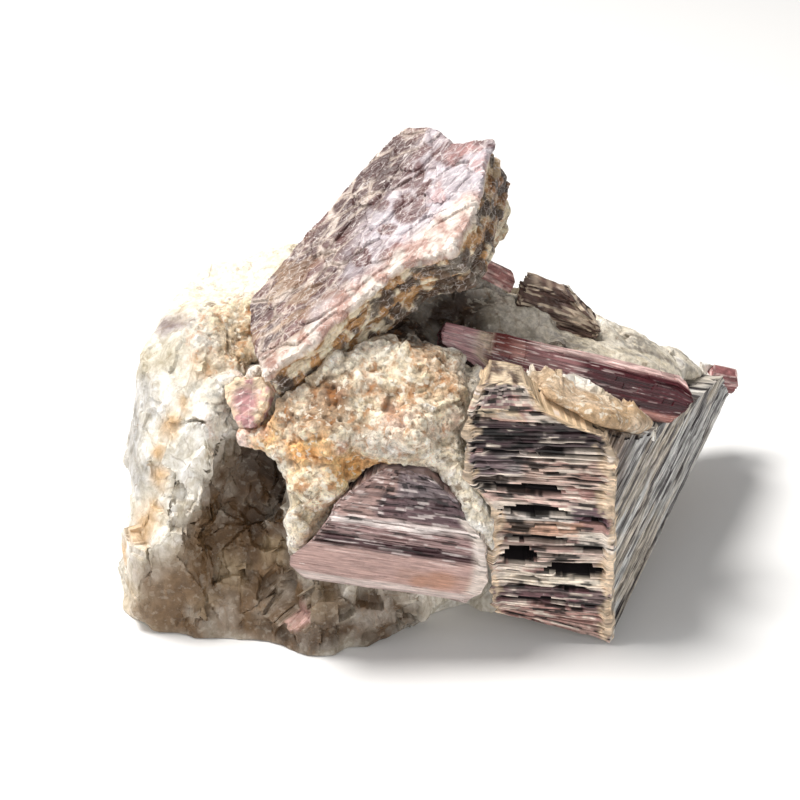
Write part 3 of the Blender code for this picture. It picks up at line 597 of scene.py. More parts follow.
# Stains and painted shade: colour, strength, and the round spots they cover
MATRIX_STAINS_AND_SHADE = (
    ((242, 240, 234), 0.9, ((-34, -9.5, 24.5, 7), (-31, -12, 28, 6), (-36, -14.5, 10, 5))),
    ((176, 152, 118), 0.7, ((-37, -15.5, 3, 5.5), (-30, -18, 9, 4.5))),
    ((148, 146, 146), 0.75, ((-39, -4.5, 25, 4.5), (-38.5, -8, 20, 4), (-38, -6, 30, 3.5))),
    ((202, 160, 102), 0.75, ((-31, -10, 30, 1.5), (-32.3, -9.3, 26.8, 1.9), (-33.4, -10.6, 23.4, 1.5),
        (-34.6, -12.2, 20, 1.9), (-36.4, -13.2, 14.6, 2.6), (-38.6, -12, 10, 2))),
    # Painted shadow: an olive strip along the upper left edge
    ((170, 160, 132), 0.6, ((-33.2, -5.4, 34.6, 2.6), (-35.6, -3, 32.4, 2.4))),
    ((98, 74, 84), 0.8, ((-32.8, 0.6, 36.2, 2.6), (-31, -1, 36.6, 1.8))),
    ((252, 244, 226), 0.95, ((-26.5, 8.6, 37.5, 8.5), (-31, 6, 36.4, 4.5), (-18, 12, 40, 8))),
    ((206, 172, 120), 0.65, ((-24.6, -1.2, 37, 3.4), (-24.4, -4.5, 35, 2.6), (-28, -6.6, 34, 2.4))),
    # The recess: smoky brown quartz, darkened further as painted shade, and darkest as painted shadow under
    # the overhang
    ((90, 65, 38), 1.1, ((-22.5, -9, 17.5, 7.5), (-24, -12.5, 12.5, 7), (-19, -12, 13.5, 5.5))),
    ((54, 39, 26), 0.8, ((-20.5, -9.5, 20.5, 3.6), (-18.6, -10.5, 17.5, 2.8))),
    # Low on the front: brown, darker towards the bottom, partly stain and partly painted shade
    ((104, 79, 50), 1.05, ((-28.5, -13, 10.5, 5), (-23, -16.2, 5, 7.5), (-31, -18.2, 4, 5))),
    ((172, 152, 122), 0.7, ((-25, -13.5, 8, 2.2), (-20, -13, 10, 2), (-29, -17.6, 5.5, 1.8))),
    # Under the wedge: brown, partly stain and partly painted shade
    ((86, 64, 40), 1.05, ((-6.5, -19, 4.5, 6), (-12.5, -20.6, 5, 5), (-18, -21, 1.5, 5))),
    ((152, 132, 106), 0.6, ((-15, -21.3, 9, 3.6),)),
    ((236, 220, 194), 0.9, ((-10, -17, 31, 11), (-1, -15, 32.5, 8.5), (-20.5, -14, 31, 5))),
    ((150, 108, 66), 0.85, ((-20, -14.6, 33, 3), (-13, -16, 34.4, 3.4), (-6, -15.5, 33.4, 3))),
    ((214, 178, 168), 0.7, ((-4, -16.4, 31.6, 3.2), (1.6, -16.2, 30.6, 2.6))),
    ((252, 240, 214), 0.95, ((-3, -13.5, 35.6, 3), (-7.6, -16, 33.6, 2.2), (0.6, -15.6, 32.8, 2))),
    ((122, 90, 56), 0.8, ((-15.6, -17.4, 32.2, 1.7), (-12.2, -17.8, 32.6, 1.6), (-8.6, -17, 32.4, 1.4),
        (-18.6, -16.6, 31.8, 1.5))),
    ((230, 166, 90), 0.85, ((-13.7, -19.2, 29.2, 2.4), (-16.6, -18.8, 28.2, 2.4),
        (-8.6, -18.4, 26.3, 2.1))),
    ((232, 176, 100), 0.85, ((-11, -18.8, 26.6, 2.2), (-5.4, -18, 27, 1.7), (-20.6, -14.8, 29, 2.4))),
    ((248, 232, 200), 0.92, ((-13.8, -20.4, 20.3, 4.4), (-15.4, -20.6, 24, 3.2),
        (-15.4, -21.2, 16.6, 2.4))),
    ((226, 222, 214), 0.92, ((-6.4, -19.1, 29.9, 2.7), (-3.6, -18.4, 29, 2), (-24.6, -14.6, 27.6, 2.2))),
    ((208, 168, 162), 0.7, ((-10, -19, 29.7, 1.2), (-22.6, -14.4, 30, 2.6), (-17.8, -20, 4.4, 1.4))),
    ((186, 140, 96), 0.6, ((-1.3, -9.5, 37, 3), (-3.8, -15.1, 33.7, 2.2), (1.6, -12.2, 34.6, 3))),
    ((120, 86, 62), 0.7, ((-1.3, -17.7, 27.9, 1.4), (-8, -14, 35, 1.6), (-12, -14.6, 35, 1.6))),
    # Painted shadow in the cavity under the plate
    ((50, 34, 21), 1.4, ((4, 3, 37, 5.4), (0, 0, 38, 5), (-5, -4, 38.5, 4.6))),
    ((204, 196, 182), 0.8, ((11.5, 4.6, 35, 4.4),)),
    ((226, 219, 206), 0.9, ((17.5, 3, 32, 4.6), (22, 2, 30.5, 4.6), (27, 3, 28, 5))),
    ((238, 228, 208), 0.85, ((22.3, 5.6, 30.1, 7), (31.2, 11.7, 23.6, 7), (37, 19, 18, 5))),
    ((206, 176, 142), 1.1, ((13.5, -17, 36, 4.5), (17.5, -17, 34, 4.5), (22, -16.5, 32, 5),
        (27, -12, 29, 5))),
    ((248, 238, 218), 1.1, ((2, -19, 27, 4), (5, -20, 23, 4.5), (6.6, -20.5, 17.5, 4))),
    ((214, 190, 150), 0.7, ((8.4, 8, 48, 4), (8, 9.4, 43, 3.6))),
    # The lower left foot: brown, partly stain and partly painted shade
    ((114, 88, 58), 0.95, ((-33, -17, 8, 4.6), (-35, -18, 3, 3.4), (-27, -14.6, 14, 4.2))),
    ((138, 124, 106), 0.8, ((-20, 18, 10, 9), (4, 19, 14, 8), (-37, 10, 14, 7),
        (24, 22, 8, 6))),
    ((204, 172, 122), 0.55, ((-8, 18, 26, 6), (14, 17, 6, 5), (-28, 15, 29, 5),
        (-40, 4, 6, 4), (12, 15, 30, 5))),
    ((168, 166, 166), 0.7, ((-30, 15, 18, 7), (-6, 20, 5, 7), (20, 18, 20, 6))),
    ((104, 80, 54), 0.75, ((0, 17, 33, 4), (-14, 19, 18, 3.6), (9, 16, 21, 3.4))),
)


def slope_streaks(points):
    """Noise drawn out down the ridge, from 0 to 1."""
    down = unit((0.8, 0.35, -0.5))
    level = unit(np.cross(down, (0.0, 0.0, 1.0)))
    rows = columns(points @ down / 7.0, points @ level / 0.55, points @ np.cross(down, level) / 0.55)
    return fractal(rows, 1.0, 53, 4)


def matrix_colours(points, crust, fine_hollows, wide_hollows):
    colours = QUARTZ * (0.78 + 0.4 * fractal(points, 4.0, 11, 4))[:, None]
    shifted = points + 3.0 * wobble(points, 3.4, 21)
    for number, (colour, strength, spots) in enumerate(MATRIX_STAINS_AND_SHADE):
        patchy = 0.6 + 0.6 * value_noise(points, 1.8, 300 + number)
        share = np.clip(near(shifted, spots, 0.5) * strength * patchy, 0.0, 1.0)
        colours = blend(colours, rgb(*colour), share)
    streaks = ramp(0.52, 0.62, slope_streaks(points)) * near(points, RIDGE, 0.4)
    colours = blend(colours, rgb(128, 122, 120), 0.75 * streaks)
    # Hollows darken towards brown: partly dirt in the cracks, partly painted shade
    dirt_and_shade = rgb(112, 82, 52) * (0.5 + value_noise(points, 2.6, 340))[:, None]
    sunk = ramp(0.03, 0.2, fine_hollows) * (0.16 + 0.6 * crust)
    sunk = np.maximum(sunk, ramp(0.1, 0.8, wide_hollows) * (0.25 + 0.45 * crust))
    colours = blend(colours, colours * dirt_and_shade / dirt_and_shade.mean(axis=0) * 0.42, sunk)
    # Painted highlight: raised edges and grain tips are lightened
    raised = ramp(0.02, 0.16, -fine_hollows) * (0.22 + 0.4 * crust)
    raised = raised * (1.0 - near(points, MILD_ZONES, 0.3))
    return blend(colours, np.clip(colours * 1.5 + 0.05, 0, 1), raised)


def flattened(points, outs, size, seed, share, most):
    """Draws each cell of the surface towards one plane, as quartz breaks, with sharp edges between."""
    _, _, number, _ = cells(points * UPRIGHT, size, seed)
    _, index = np.unique(number, return_inverse=True)
    count = np.bincount(index)
    middle = np.stack([np.bincount(index, column) / count for column in points.T], axis=1)[index]
    way = np.stack([np.bincount(index, column) / count for column in outs.T], axis=1)
    way = (way / np.maximum(np.linalg.norm(way, axis=1), 1e-6)[:, None])[index]
    distance = np.sum((middle - points) * way, axis=1)
    alike = ramp(0.1, 0.5, np.sum(way * outs, axis=1))
    return points + way * (np.clip(distance * share, -most, most) * alike)[:, None]


def matrix_height(points, outs, crust, calm):
    """How far the finished surface stands from the solid: broken faces on the quartz, grains on the crust."""
    plain = 1.0 - np.maximum(crust, calm)
    broken = np.clip(facets(points * UPRIGHT, outs, 3.4, 42) * 0.09, -0.3, 0.25)
    nearest, second, _, _ = cells(points + 0.8 * fractal(points, 2.0, 47)[:, None], 4.4, 48)
    cracks = -0.12 * ramp(0.06, 0.0, second - nearest)
    nearest, _, number, _ = cells(points, 5.2, 50)
    boulders = dome(nearest) * number
    nearest, _, number, _ = cells(points, 2.0, 43)
    lumps = dome(nearest) * (0.3 + 0.7 * number)
    nearest, _, number, _ = cells(points, 0.95, 44)
    crumbs = dome(nearest) * number
    waves = fractal(points, 3.0, 45, 4) - 0.5
    pits = ramp(0.62, 0.75, fractal(points, 2.4, 49))
    height = plain * (broken + cracks)
    height += 0.5 * calm * (fractal(points, 1.1, 52) - 0.5)
    height += crust * (1.1 * boulders + 0.65 * lumps + 0.45 * crumbs - 0.85 - 0.6 * pits)
    return height + waves * (0.14 + 0.5 * crust) + GAP_CLOSING


def make_matrix():
    obj = fine_copy("quartz_matrix", "matrix", MATRIX_VOXEL)
    points = points_of(obj)
    rounding = np.maximum(near(points, CRUST_ZONES, 0.3), near(points, SMOOTH_ZONES + MILD_ZONES, 0.4))
    smoothed(obj, 9, 0.3 + 0.5 * rounding)
    smoothed(obj, 24, 0.6 * near(points, MILD_ZONES, 0.2))
    points = points_of(obj)
    outs = outs_of(obj)
    mild = near(points, MILD_ZONES, 0.3)
    crust = np.maximum(near(points, CRUST_ZONES, 0.3), 0.22 * mild)
    calm = np.maximum(near(points, SMOOTH_ZONES, 0.4), mild)
    foot = ramp(0.2, 2.6, points[:, 2])
    plain = (1.0 - np.maximum(crust, calm)) * foot
    height = matrix_height(points, outs, crust, calm)
    set_points(obj, flattened(points, outs, 8.0, 401, 0.9 * plain, 1.8))
    for size, seed, share in ((4.6, 402, 0.85), (2.2, 403, 0.4)):
        moved = points_of(obj)
        set_points(obj, flattened(moved, outs_of(obj), size, seed, share * plain, 0.9))
    moved = points_of(obj) + outs * (height * foot)[:, None]
    moved[:, 2] = np.maximum(moved[:, 2], 0.0)
    set_points(obj, moved)
    set_colour(obj, matrix_colours(points, crust, hollows(obj, 3), hollows(obj, 30)))
    stained = near(points, STAINED_ZONES, 0.4)
    set_place(obj, columns(np.clip(crust + 0.15 + 0.5 * calm, 0, 1), stained, 0.0))
    reduced(obj, MATRIX_TRIANGLES)
    obj.data.polygons.foreach_set("use_smooth", np.ones(len(obj.data.polygons), bool))
    obj.data.set_sharp_from_angle(angle=SHARP_ANGLE)
    return obj


# Plate: a run along it, across it and down from the scaly face

PLATE_ORIGIN = np.array((-20.5, -14.5, 36.5))
PLATE_NORMAL = unit((-0.386, -0.406, 0.828))
PLATE_SIDE = unit((0.46, -0.863, -0.209))
PLATE_ALONG = np.cross(PLATE_NORMAL, PLATE_SIDE)


def plate_places(points):
    way = points - PLATE_ORIGIN
    return columns(way @ PLATE_ALONG, way @ PLATE_SIDE, -(way @ PLATE_NORMAL))


def scale_pattern(places, seed=51):
    """Cells drawn out up the plate, for its scales: edge share, number, and way from the middle."""
    bent = places.copy()
    bent[:, 1] += 0.22 * places[:, 0] + 1.2 * (fractal(places, 5.0, 61) - 0.5)
    bent[:, 2] = 0.0
    stretched = bent / (6.2, 2.5, 1.0)
    nearest, second, number, way = cells(stretched, 1.0, seed)
    return second - nearest, number, way


# Dark scales within the frosted half: along, across, nothing, and radius
DARK_SCALES = (
    (29.5, -12.2, 0, 2.5), (26.9, -7.7, 0, 2.6), (29.8, -8.7, 0, 1.2), (22.7, -6.9, 0, 1.2),
    (21.4, -3.7, 0, 1.4), (18.4, -5.6, 0, 1.6), (35.5, -11.2, 0, 2.6), (38.5, -9.6, 0, 1.9),
    (13.5, -4.3, 0, 1.7), (24.2, -11, 0, 1.3), (32.6, -14.2, 0, 1.6),
)


def frost_reach(places):
    """How far a place lies inside the frosted half of the face, in mm."""
    wander = 4.0 * (fractal(places, (5.0, 2.5, 4.0), 72) - 0.5)
    return places[:, 1] + 17.0 + 0.58 * (places[:, 0] - 34.0) + wander


def crusty_border(places):
    """1 on the grainy strip of the face along its lower edge."""
    edge_way = places[:, 1] + 3.2 - 0.055 * np.maximum(0.0, 30.0 - places[:, 0])
    return ramp(-1.6, 1.2, edge_way + 3.0 * (fractal(places, 3.0, 70) - 0.5))


def make_plate():
    obj = fine_copy("lepidolite_plate", "plate", PLATE_VOXEL)
    points = points_of(obj)
    outs = outs_of(obj)
    places = plate_places(points)
    face = ramp(0.55, 0.85, outs @ PLATE_NORMAL)
    edge, number, way = scale_pattern(places)
    shingle = 0.45 * number - 0.24 * way[:, 0]
    edge_small, number_small, _ = scale_pattern(places * 2.1 + 5.0, 57)
    shingle += 0.16 * number_small - 0.12 * ramp(0.1, 0.0, edge)
    shingle = shingle * 0.8 + 0.7 * crusty_border(places) * (fractal(points, 1.5, 67, 4) - 0.4)
    side = 1.0 - ramp(0.3, 0.7, np.abs(outs @ PLATE_NORMAL))
    steps = np.round(value_noise(places / (3.0, 3.0, 0.55), 1.0, 63) * 5) / 5
    nearest, _, number_grain, _ = cells(points, 1.6, 64)
    lumps = dome(nearest) * (0.3 + 0.7 * number_grain)
    height = face * shingle + side * (0.55 * steps + 0.65 * lumps - 0.45)
    height += 0.15 * (fractal(points, 2.0, 65) - 0.5) + GAP_CLOSING * (1 - face) * 0.5
    set_points(obj, points + outs * height[:, None])
    painted = ramp(1.4, 0.6, places[:, 2] + 1.2 * (fractal(places, 2.0, 66) - 0.5))
    colours = plate_colours(points, places, painted, edge, edge_small, number)
    # Painted shade in the hollows and painted highlight on the raised edges
    sunk = hollows(obj, 4)
    shaded = ramp(0.02, 0.14, sunk) * (0.8 - 0.45 * painted)
    colours = blend(colours, colours * (0.36, 0.3, 0.24), shaded)
    raised = ramp(0.02, 0.12, -sunk) * (0.5 - 0.25 * painted)
    set_colour(obj, blend(colours, np.clip(colours * 1.5 + 0.08, 0, 1), raised))
    set_place(obj, places)
    return obj


def plate_colours(points, places, face, edge, edge_small, number):
    along, _, down = places.T
    shade = fractal(places, (7.0, 3.0, 3.0), 71, 4)
    lightness = ramp(0.3, 0.8, 0.05 + 0.5 * number + 1.0 * (shade - 0.35))
    colours = blend(rgb(66, 35, 33), rgb(103, 66, 61), lightness)
    vein = ramp(0.1, 0.02, edge) * ramp(0.2, 0.45, fractal(places, 3.0, 74))
    thin = 0.7 * ramp(0.1, 0.02, edge_small) * ramp(0.42, 0.56, fractal(places, 3.0, 75))
    colours = blend(colours, rgb(206, 190, 178), 0.8 * np.maximum(vein, thin))
    rust = ramp(0.56, 0.66, fractal(places, (5.0, 1.6, 2.0), 78)) * ramp(20.0, 8.0, along)
    colours = blend(colours, rgb(150, 118, 84), 0.5 * rust)
    over = frost_reach(places)
    frosted = ramp(-1.5, 3.0, over)
    patch = 0.55 * ramp(0.47, 0.54, fractal(places, (3.6, 2.0, 2.0), 73))
    patch = patch * ramp(13.0, 5.0, over)
    flat = places * (1.0, 1.0, 0.0)
    spread = 2.2 * wobble(flat, 2.2, 141) * (1.0, 1.0, 0.0)
    patch = np.maximum(patch, near(flat + spread, DARK_SCALES, 0.2))
    frost = blend(rgb(178, 169, 176), rgb(88, 50, 49), 0.95 * patch)
    pinkish = ramp(0.5, 0.62, fractal(places, 2.2, 80))
    frost = blend(frost, rgb(182, 134, 130), 0.6 * pinkish * ramp(5.0, 9.0, over))
    colours = blend(colours, frost, 0.95 * frosted)
    net = ramp(0.1, 0.02, edge_small) * frosted * (1.0 - 0.5 * patch)
    colours = blend(colours, rgb(214, 205, 208), 0.8 * net)
    grains = fractal(points, 1.3, 69, 4)
    border = blend(rgb(168, 128, 112), rgb(220, 208, 196), ramp(0.34, 0.6, grains))
    colours = blend(colours, border, 0.85 * crusty_border(places))
    crust = rgb(176, 132, 82) * (0.4 + 1.0 * fractal(points, 1.6, 76, 4))[:, None]
    white = ramp(0.5, 0.58, fractal(points, 1.4, 79, 4) + 0.12 * ramp(3.5, 0.5, down))
    crust = blend(crust, rgb(232, 218, 192), 0.85 * white)
    dark_run = 0.09 * ramp(15.0, 19.0, along) * ramp(33.0, 28.0, along)
    dark = fractal(points, 1.8, 77, 4) + 0.06 * ramp(3.0, 7.0, down) + dark_run
    crust = blend(crust, rgb(54, 44, 40), 0.85 * ramp(0.56, 0.64, dark))
    shaded = ramp(31.0, 35.0, along) * ramp(1.0, 3.0, down)
    crust = blend(crust, crust * (0.5, 0.42, 0.34), shaded)
    return blend(colours, crust, np.clip(1.0 - face, 0.0, 1.0))


def plate_material():
    nodes = Nodes("scaly_mica")
    place = nodes.attribute("place", "Vector")
    tint = nodes.attribute("tint", "Color")
    stretched = nodes.scaled(place, (0.5, 1.15, 0.9))
    bend = nodes.add("ShaderNodeTexNoise", {"Vector": stretched, "Scale": 0.9, "Detail": 3.0})
    shift = {0: stretched, 1: bend.outputs["Color"]}
    warped = nodes.add("ShaderNodeVectorMath", shift, operation="ADD").outputs[0]
    cloudy = nodes.noise(stretched, 1.2, 5.0, 0.65, 0.8)
    colour = nodes.tinted(tint, nodes.grey(nodes.ramp(cloudy, 0.3, 0.7, 0.76, 1.24)))
    cracks = nodes.voronoi(warped, 1.4)
    thin = nodes.voronoi(warped, 3.1)
    vein = nodes.times(nodes.ramp(cracks, 0.045, 0.0), nodes.ramp(cloudy, 0.38, 0.55))
    thin_vein = nodes.times(nodes.ramp(thin, 0.05, 0.0), nodes.ramp(cloudy, 0.5, 0.66))
    vein = nodes.maths("MAXIMUM", vein, thin_vein)
    colour = nodes.mix(nodes.times(vein, 0.75), colour, rgb(222, 213, 208))
    rough = nodes.ramp(cloudy, 0.3, 0.7, 0.36, 0.6)
    grain = nodes.noise(nodes.object_vector(), 2.2, 5.0, 0.65)
    normal = nodes.bump(cracks, 0.0003, 0.4)
    return nodes.finish(colour, rough, nodes.bump(grain, 0.00025, 0.35, normal))


# Big book

BOOK_CORNER = (22.6, -19.2, 0.6)
BOOK_RISE = 0.268
BOOK_OUTLINES = (
    (0, ((8.5, -18.8), (23, -19.2), (43, 24), (27, 27))),
    (6.3, ((7.6, -19.1), (22.9, -19.2), (41.2, 20), (24, 23))),
    (12.2, ((7.5, -19.2), (22.8, -19.2), (35.6, 8), (20, 13))),
    (19, ((7.4, -19.2), (22.5, -19.2), (29.6, -4), (13.5, -0.5))),
    (22.5, ((4.4, -19.2), (22.5, -19.2), (27, -9.6), (11, -6))),
    (27.3, ((4, -19.2), (22.5, -19.2), (24.3, -15.2), (8, -11))),
    (30.4, ((4, -19.2), (21, -19.2), (21.2, -17.8), (7, -12))),
    (31.6, ((4, -19.1), (17.6, -19.1), (17, -15), (6, -12.6))),
    (33.4, ((4.6, -18.8), (13.8, -18.9), (12.8, -14), (6, -12))),
    (36.6, ((6, -18.2), (11.6, -18.4), (11, -14.8), (7, -13.8))),
)
BOOK_SIDES = (112, 112, 24, 34)
BOOK_FRONT = 15.2
# Open slots at the front: share along it from the left, height, and depth
BOOK_SLOTS = (
    (0.42, 0.95, 9.4, 11.2, 2.2),
    (0.06, 0.38, 10.9, 13.3, 2.6),
    (0.72, 0.95, 13.1, 14, 1.7),
    (0.1, 0.64, 14.2, 15.2, 1),
    (0.06, 0.64, 18.1, 19.4, 2.2),
    (0.05, 0.66, 21.2, 22.4, 1.9),
    (0.7, 0.95, 17.3, 18, 1.1),
    (0.66, 0.95, 27, 27.5, 1.3),
    (0.05, 0.55, 27.1, 27.5, 0.8),
    (0.45, 0.9, 31.7, 32.2, 1.2),
    (0, 0.95, 5, 5.5, 0.8),
    (0.3, 0.7, 24.4, 24.8, 0.8),
    (0.1, 0.5, 29.6, 29.9, 0.6),
    (0.15, 0.8, 16.2, 16.5, 0.6),
    (0.5, 0.9, 7.2, 7.6, 0.7),
)
BOOK_PALE = rgb(226, 212, 198)
BOOK_PINK = rgb(178, 138, 130)
# Bands of the front: share from, share to, height from, height to, colour and strength
BOOK_BANDS = (
    (0, 1, 27.6, 32, (44, 30, 40), 0.92),
    (0.66, 0.97, 26.6, 27.8, (226, 212, 198), 0.9),
    (0, 0.42, 23.4, 27.2, (104, 98, 108), 0.7),
    (0.38, 0.97, 22.6, 26.4, (170, 138, 126), 0.7),
    (0, 0.95, 22.4, 23.4, (214, 186, 174), 0.85),
    (0, 0.68, 19.5, 21.2, (208, 176, 166), 0.85),
    (0.66, 0.97, 17.6, 19.9, (84, 56, 72), 0.85),
    (0, 0.68, 17.1, 18.1, (206, 198, 190), 0.85),
    (0, 0.76, 15.2, 17.1, (206, 164, 140), 0.85),
    (0, 0.66, 13.3, 15.2, (140, 112, 104), 0.7),
    (0.72, 0.99, 13.9, 16, (230, 220, 208), 0.85),
    (0.38, 0.99, 11.1, 13.1, (212, 192, 180), 0.85),
    (0, 0.4, 12.1, 12.4, (226, 216, 206), 0.8),
    (0.1, 0.97, 7.8, 9.6, (232, 220, 202), 0.9),
    (0, 1, 4.4, 7.4, (92, 62, 72), 0.8),
    (0, 1, 0, 3.6, (160, 122, 114), 0.8),
    (0.1, 0.6, 32.4, 33.6, (220, 200, 170), 0.85),
    (0.1, 0.6, 33.8, 36.6, (96, 76, 84), 0.7),
)


def place_book(x, y, height):
    dip = np.interp(height, (0, 4, 12, 22, 28, 37), (0.29, 0.11, 0.06, 0.09, 0.03, 0.0))
    lift = dip * np.maximum(0.0, BOOK_CORNER[0] - x)
    return columns(x, y, BOOK_CORNER[2] + height + (y - BOOK_CORNER[1]) * BOOK_RISE + lift)


def crusted_edge(sides, shares):
    """1 on the grainy columns at both ends of the front."""
    left = ramp(0.09, 0.03, shares) * (sides == 0)
    right = ramp(0.9, 0.96, shares) * (sides == 0) + ramp(0.05, 0.02, shares) * (sides == 1)
    return np.clip(left + right, 0.0, 1.0)


def book_depth(layer, middle, sides, shares, run):
    bundle = np.floor(middle / 1.25)
    depth = 0.06 + 0.5 * line_noise(run, 7.0, 81, layer) * line_noise(run, 8.0, 83, bundle)
    depth += 0.1 * line_noise(run, 1.4, 82, layer)
    crevice = ramp(0.62, 0.7, line_noise(run, 11.0, 86, layer))
    depth += 0.8 * crevice * ramp(0.25, 0.4, line_noise(run, 4.5, 84, layer))
    depth -= 0.22 * ramp(0.72, 0.8, line_noise(run, 7.0, 88, layer))
    front = sides == 0
    along = shares + 0.07 * (line_noise(run, 4.0, 85, np.floor(layer / 3)) - 0.5)
    level = middle + 0.5 * (line_noise(run, 3.5, 87) - 0.5)
    for start, end, low, high, slot in BOOK_SLOTS:
        inside = ramp(start - 0.015, start + 0.02, along) * ramp(end + 0.015, end - 0.02, along)
        narrow = 0.5 * (high - low) * np.abs((2 * along - start - end) / (end - start)) ** 3
        inside = inside * front * (level >= low + narrow) * (level <= high - narrow)
        depth = np.maximum(depth, inside * (slot + 0.3 + 0.4 * line_noise(run, 2.0, 89, layer)))
    grains = fractal(columns(run, middle, sides), 1.6, 90)
    depth = np.where(sides == 1, 0.1 + 0.45 * depth, depth)
    crust = crusted_edge(sides, shares)
    return depth * (1 - crust) + crust * (0.55 - 1.25 * grains)


def band_colours(colours, shares, heights, bands, blur=0.35):
    for start, end, low, high, colour, strength in bands:
        across = ramp(start - 0.03, start + 0.03, shares) * ramp(end + 0.03, end - 0.03, shares)
        up = ramp(low - blur, low + blur, heights) * ramp(high + blur, high - blur, heights)
        share = (across * up * strength)[:, None]
        colours = colours * (1 - share) + rgb(*colour) * share
    return colours


def streaky(run, height, length, thickness, seed):
    """Noise drawn out along the layers, from 0 to 1, with wavering lines."""
    bend = fractal(columns(run / 8.0, height / 2.0, 0.0), 1.0, seed + 50) - 0.5
    return fractal(columns(run / length, (height + 1.1 * bend) / thickness, 0.0), 1.0, seed, 4)


def book_colours(spots):
    run, height, depth = spots.T
    light = ramp(0.4, 0.6, streaky(run, height, 7.0, 0.5, 91))
    thin = streaky(run, height, 6.0, 0.3, 97)
    side = blend(rgb(66, 61, 63), rgb(204, 203, 200), ramp(0.22, 0.6, 0.35 * light + 0.65 * thin))
    warm = ramp(0.45, 0.62, streaky(run, height, 12.0, 2.6, 92))
    side = blend(side, side * (1.0, 0.91, 0.8), warm)
    side = side * (0.6 + 0.75 * fractal(columns(run / 11.0, height / 5.0, 0.0), 1.0, 88))[:, None]
    # Painted shadow of the overhanging lath on the side
    painted_lath_shadow = ramp(17.0, 24.0, height) * ramp(24.0, 17.0, run)
    side = blend(side, rgb(92, 70, 56) * (0.5 + light)[:, None], 0.75 * painted_lath_shadow)
    front = np.where(run < BOOK_FRONT, 1.0, 0.0)
    share = run / BOOK_FRONT
    wavy = height + 0.9 * (streaky(run, height, 5.0, 1.4, 93) - 0.5)
    banded = band_colours(blend(BOOK_PINK, BOOK_PALE, light), share, wavy, BOOK_BANDS)
    fine = streaky(run, height, 3.0, 0.26, 94)
    banded = banded * (0.35 + 1.3 * fine)[:, None]
    banded = blend(banded, BOOK_PALE, 0.8 * ramp(0.6, 0.68, fine))
    banded = blend(banded, banded * 0.12, ramp(0.44, 0.34, fine))
    colours = blend(side, banded, front)
    wander = 1.8 * (line_noise(height, 2.2, 98) - 0.5) + 0.8 * (line_noise(height, 0.7, 96) - 0.5)
    crust = ramp(1.2, 0.7, run + wander)
    crust += ramp(13.6, 14.3, run + wander) * ramp(16.6, 15.8, run + wander)
    grains = fractal(columns(run, height, 0.0), 1.0, 95)
    crust *= ramp(0.25, 0.4, grains)
    crumbs = rgb(206, 184, 158) * (0.1 + 1.8 * grains)[:, None]
    colours = blend(colours, crumbs, np.clip(crust, 0, 1) * 0.85)
    top = ramp(30.6, 31.8, height + 0.32 * np.clip(run - BOOK_FRONT, 0, 3)) * (run > BOOK_FRONT - 1)
    colours = blend(colours, rgb(206, 180, 146), 0.8 * top)
    # Painted shade: darker the deeper a layer lies behind the front, near black in the slots
    colours = blend(colours, colours * 0.04, ramp(0.4, 1.3, depth))
    grains = fractal(columns(run, depth, height), 1.2, 99, 4)
    cap = blend(rgb(92, 74, 62), rgb(204, 184, 158),
                ramp(0.36, 0.56, grains))
    return np.where((run > CAP_RUN / 2)[:, None], cap, colours)


def make_book():
    levels = uneven_levels(0.0, 36.6, 0.25, 101)
    obj, spots = layered(
        "book", BOOK_OUTLINES, BOOK_SIDES, levels, book_depth, place_book, BEVEL, BOOK_FRONT, 0.22
    )
    set_colour(obj, book_colours(spots))
    cap = spots[:, 0] > CAP_RUN / 2
    spots[cap, 1] = spots[cap, 2]
    spots[cap, 2] = 0.0
    set_place(obj, spots)
    return obj


# Wedge crystal

WEDGE_DIP = 0.2
WEDGE_TIP_X = -17.5
WEDGE_OUTLINES = (
    (12.6, ((-15.5, -22), (4.5, -21.2), (5, -16), (-12, -17))),
    (14.6, ((-17.4, -22.5), (6.2, -21.8), (6.4, -14.5), (-14, -17.5))),
    (16.2, ((-17.2, -22.9), (6.7, -22.2), (6.8, -14), (-13.6, -17))),
    (19, ((-14.9, -23.4), (6.9, -22.6), (6.8, -13.5), (-12, -16.5))),
    (22.6, ((-12.6, -23.3), (6.4, -22.4), (6.2, -13.5), (-10.8, -16))),
    (24.2, ((-11.8, -22), (4.6, -21), (4.6, -13.5), (-10, -15.5))),
    (26.3, ((-9, -20.4), (3.2, -19.8), (3.4, -13.5), (-8, -15))),
    (28.4, ((-5.8, -18.6), (-0.6, -18.4), (-0.6, -14), (-5.6, -15))),
)
WEDGE_SIDES = (170, 50, 60, 40)
WEDGE_FRONT = 21.0
WEDGE_BANDS = (
    (0, 1.1, 12.6, 19, (182, 150, 142), 0.85),
    (0, 1.1, 12.6, 13.8, (204, 190, 184), 0.8),
    (0.55, 0.95, 14.4, 17, (178, 140, 122), 0.35),
    (0.05, 1.02, 19.2, 20.7, (80, 52, 58), 0.9),
    (0.05, 1.02, 20.7, 22.4, (158, 130, 128), 0.75),
    (0, 1.02, 22.7, 23.3, (226, 218, 214), 0.8),
    (0, 0.45, 23.3, 28.4, (176, 146, 138), 0.6),
    (0.3, 1.02, 23.5, 26, (88, 68, 76), 0.75),
    (0.4, 1.02, 26, 28.4, (140, 132, 138), 0.6),
    (0.93, 1.3, 14, 24.5, (222, 210, 200), 0.8),
)


# Brown spots low on the front: run, height, nothing, and radius
WEDGE_SPOTS = ((16.3, 15.6, 0, 1.7), (14.4, 15.1, 0, 1.2))


def place_wedge(x, y, height):
    return columns(x, y, height - WEDGE_DIP * (x - WEDGE_TIP_X))


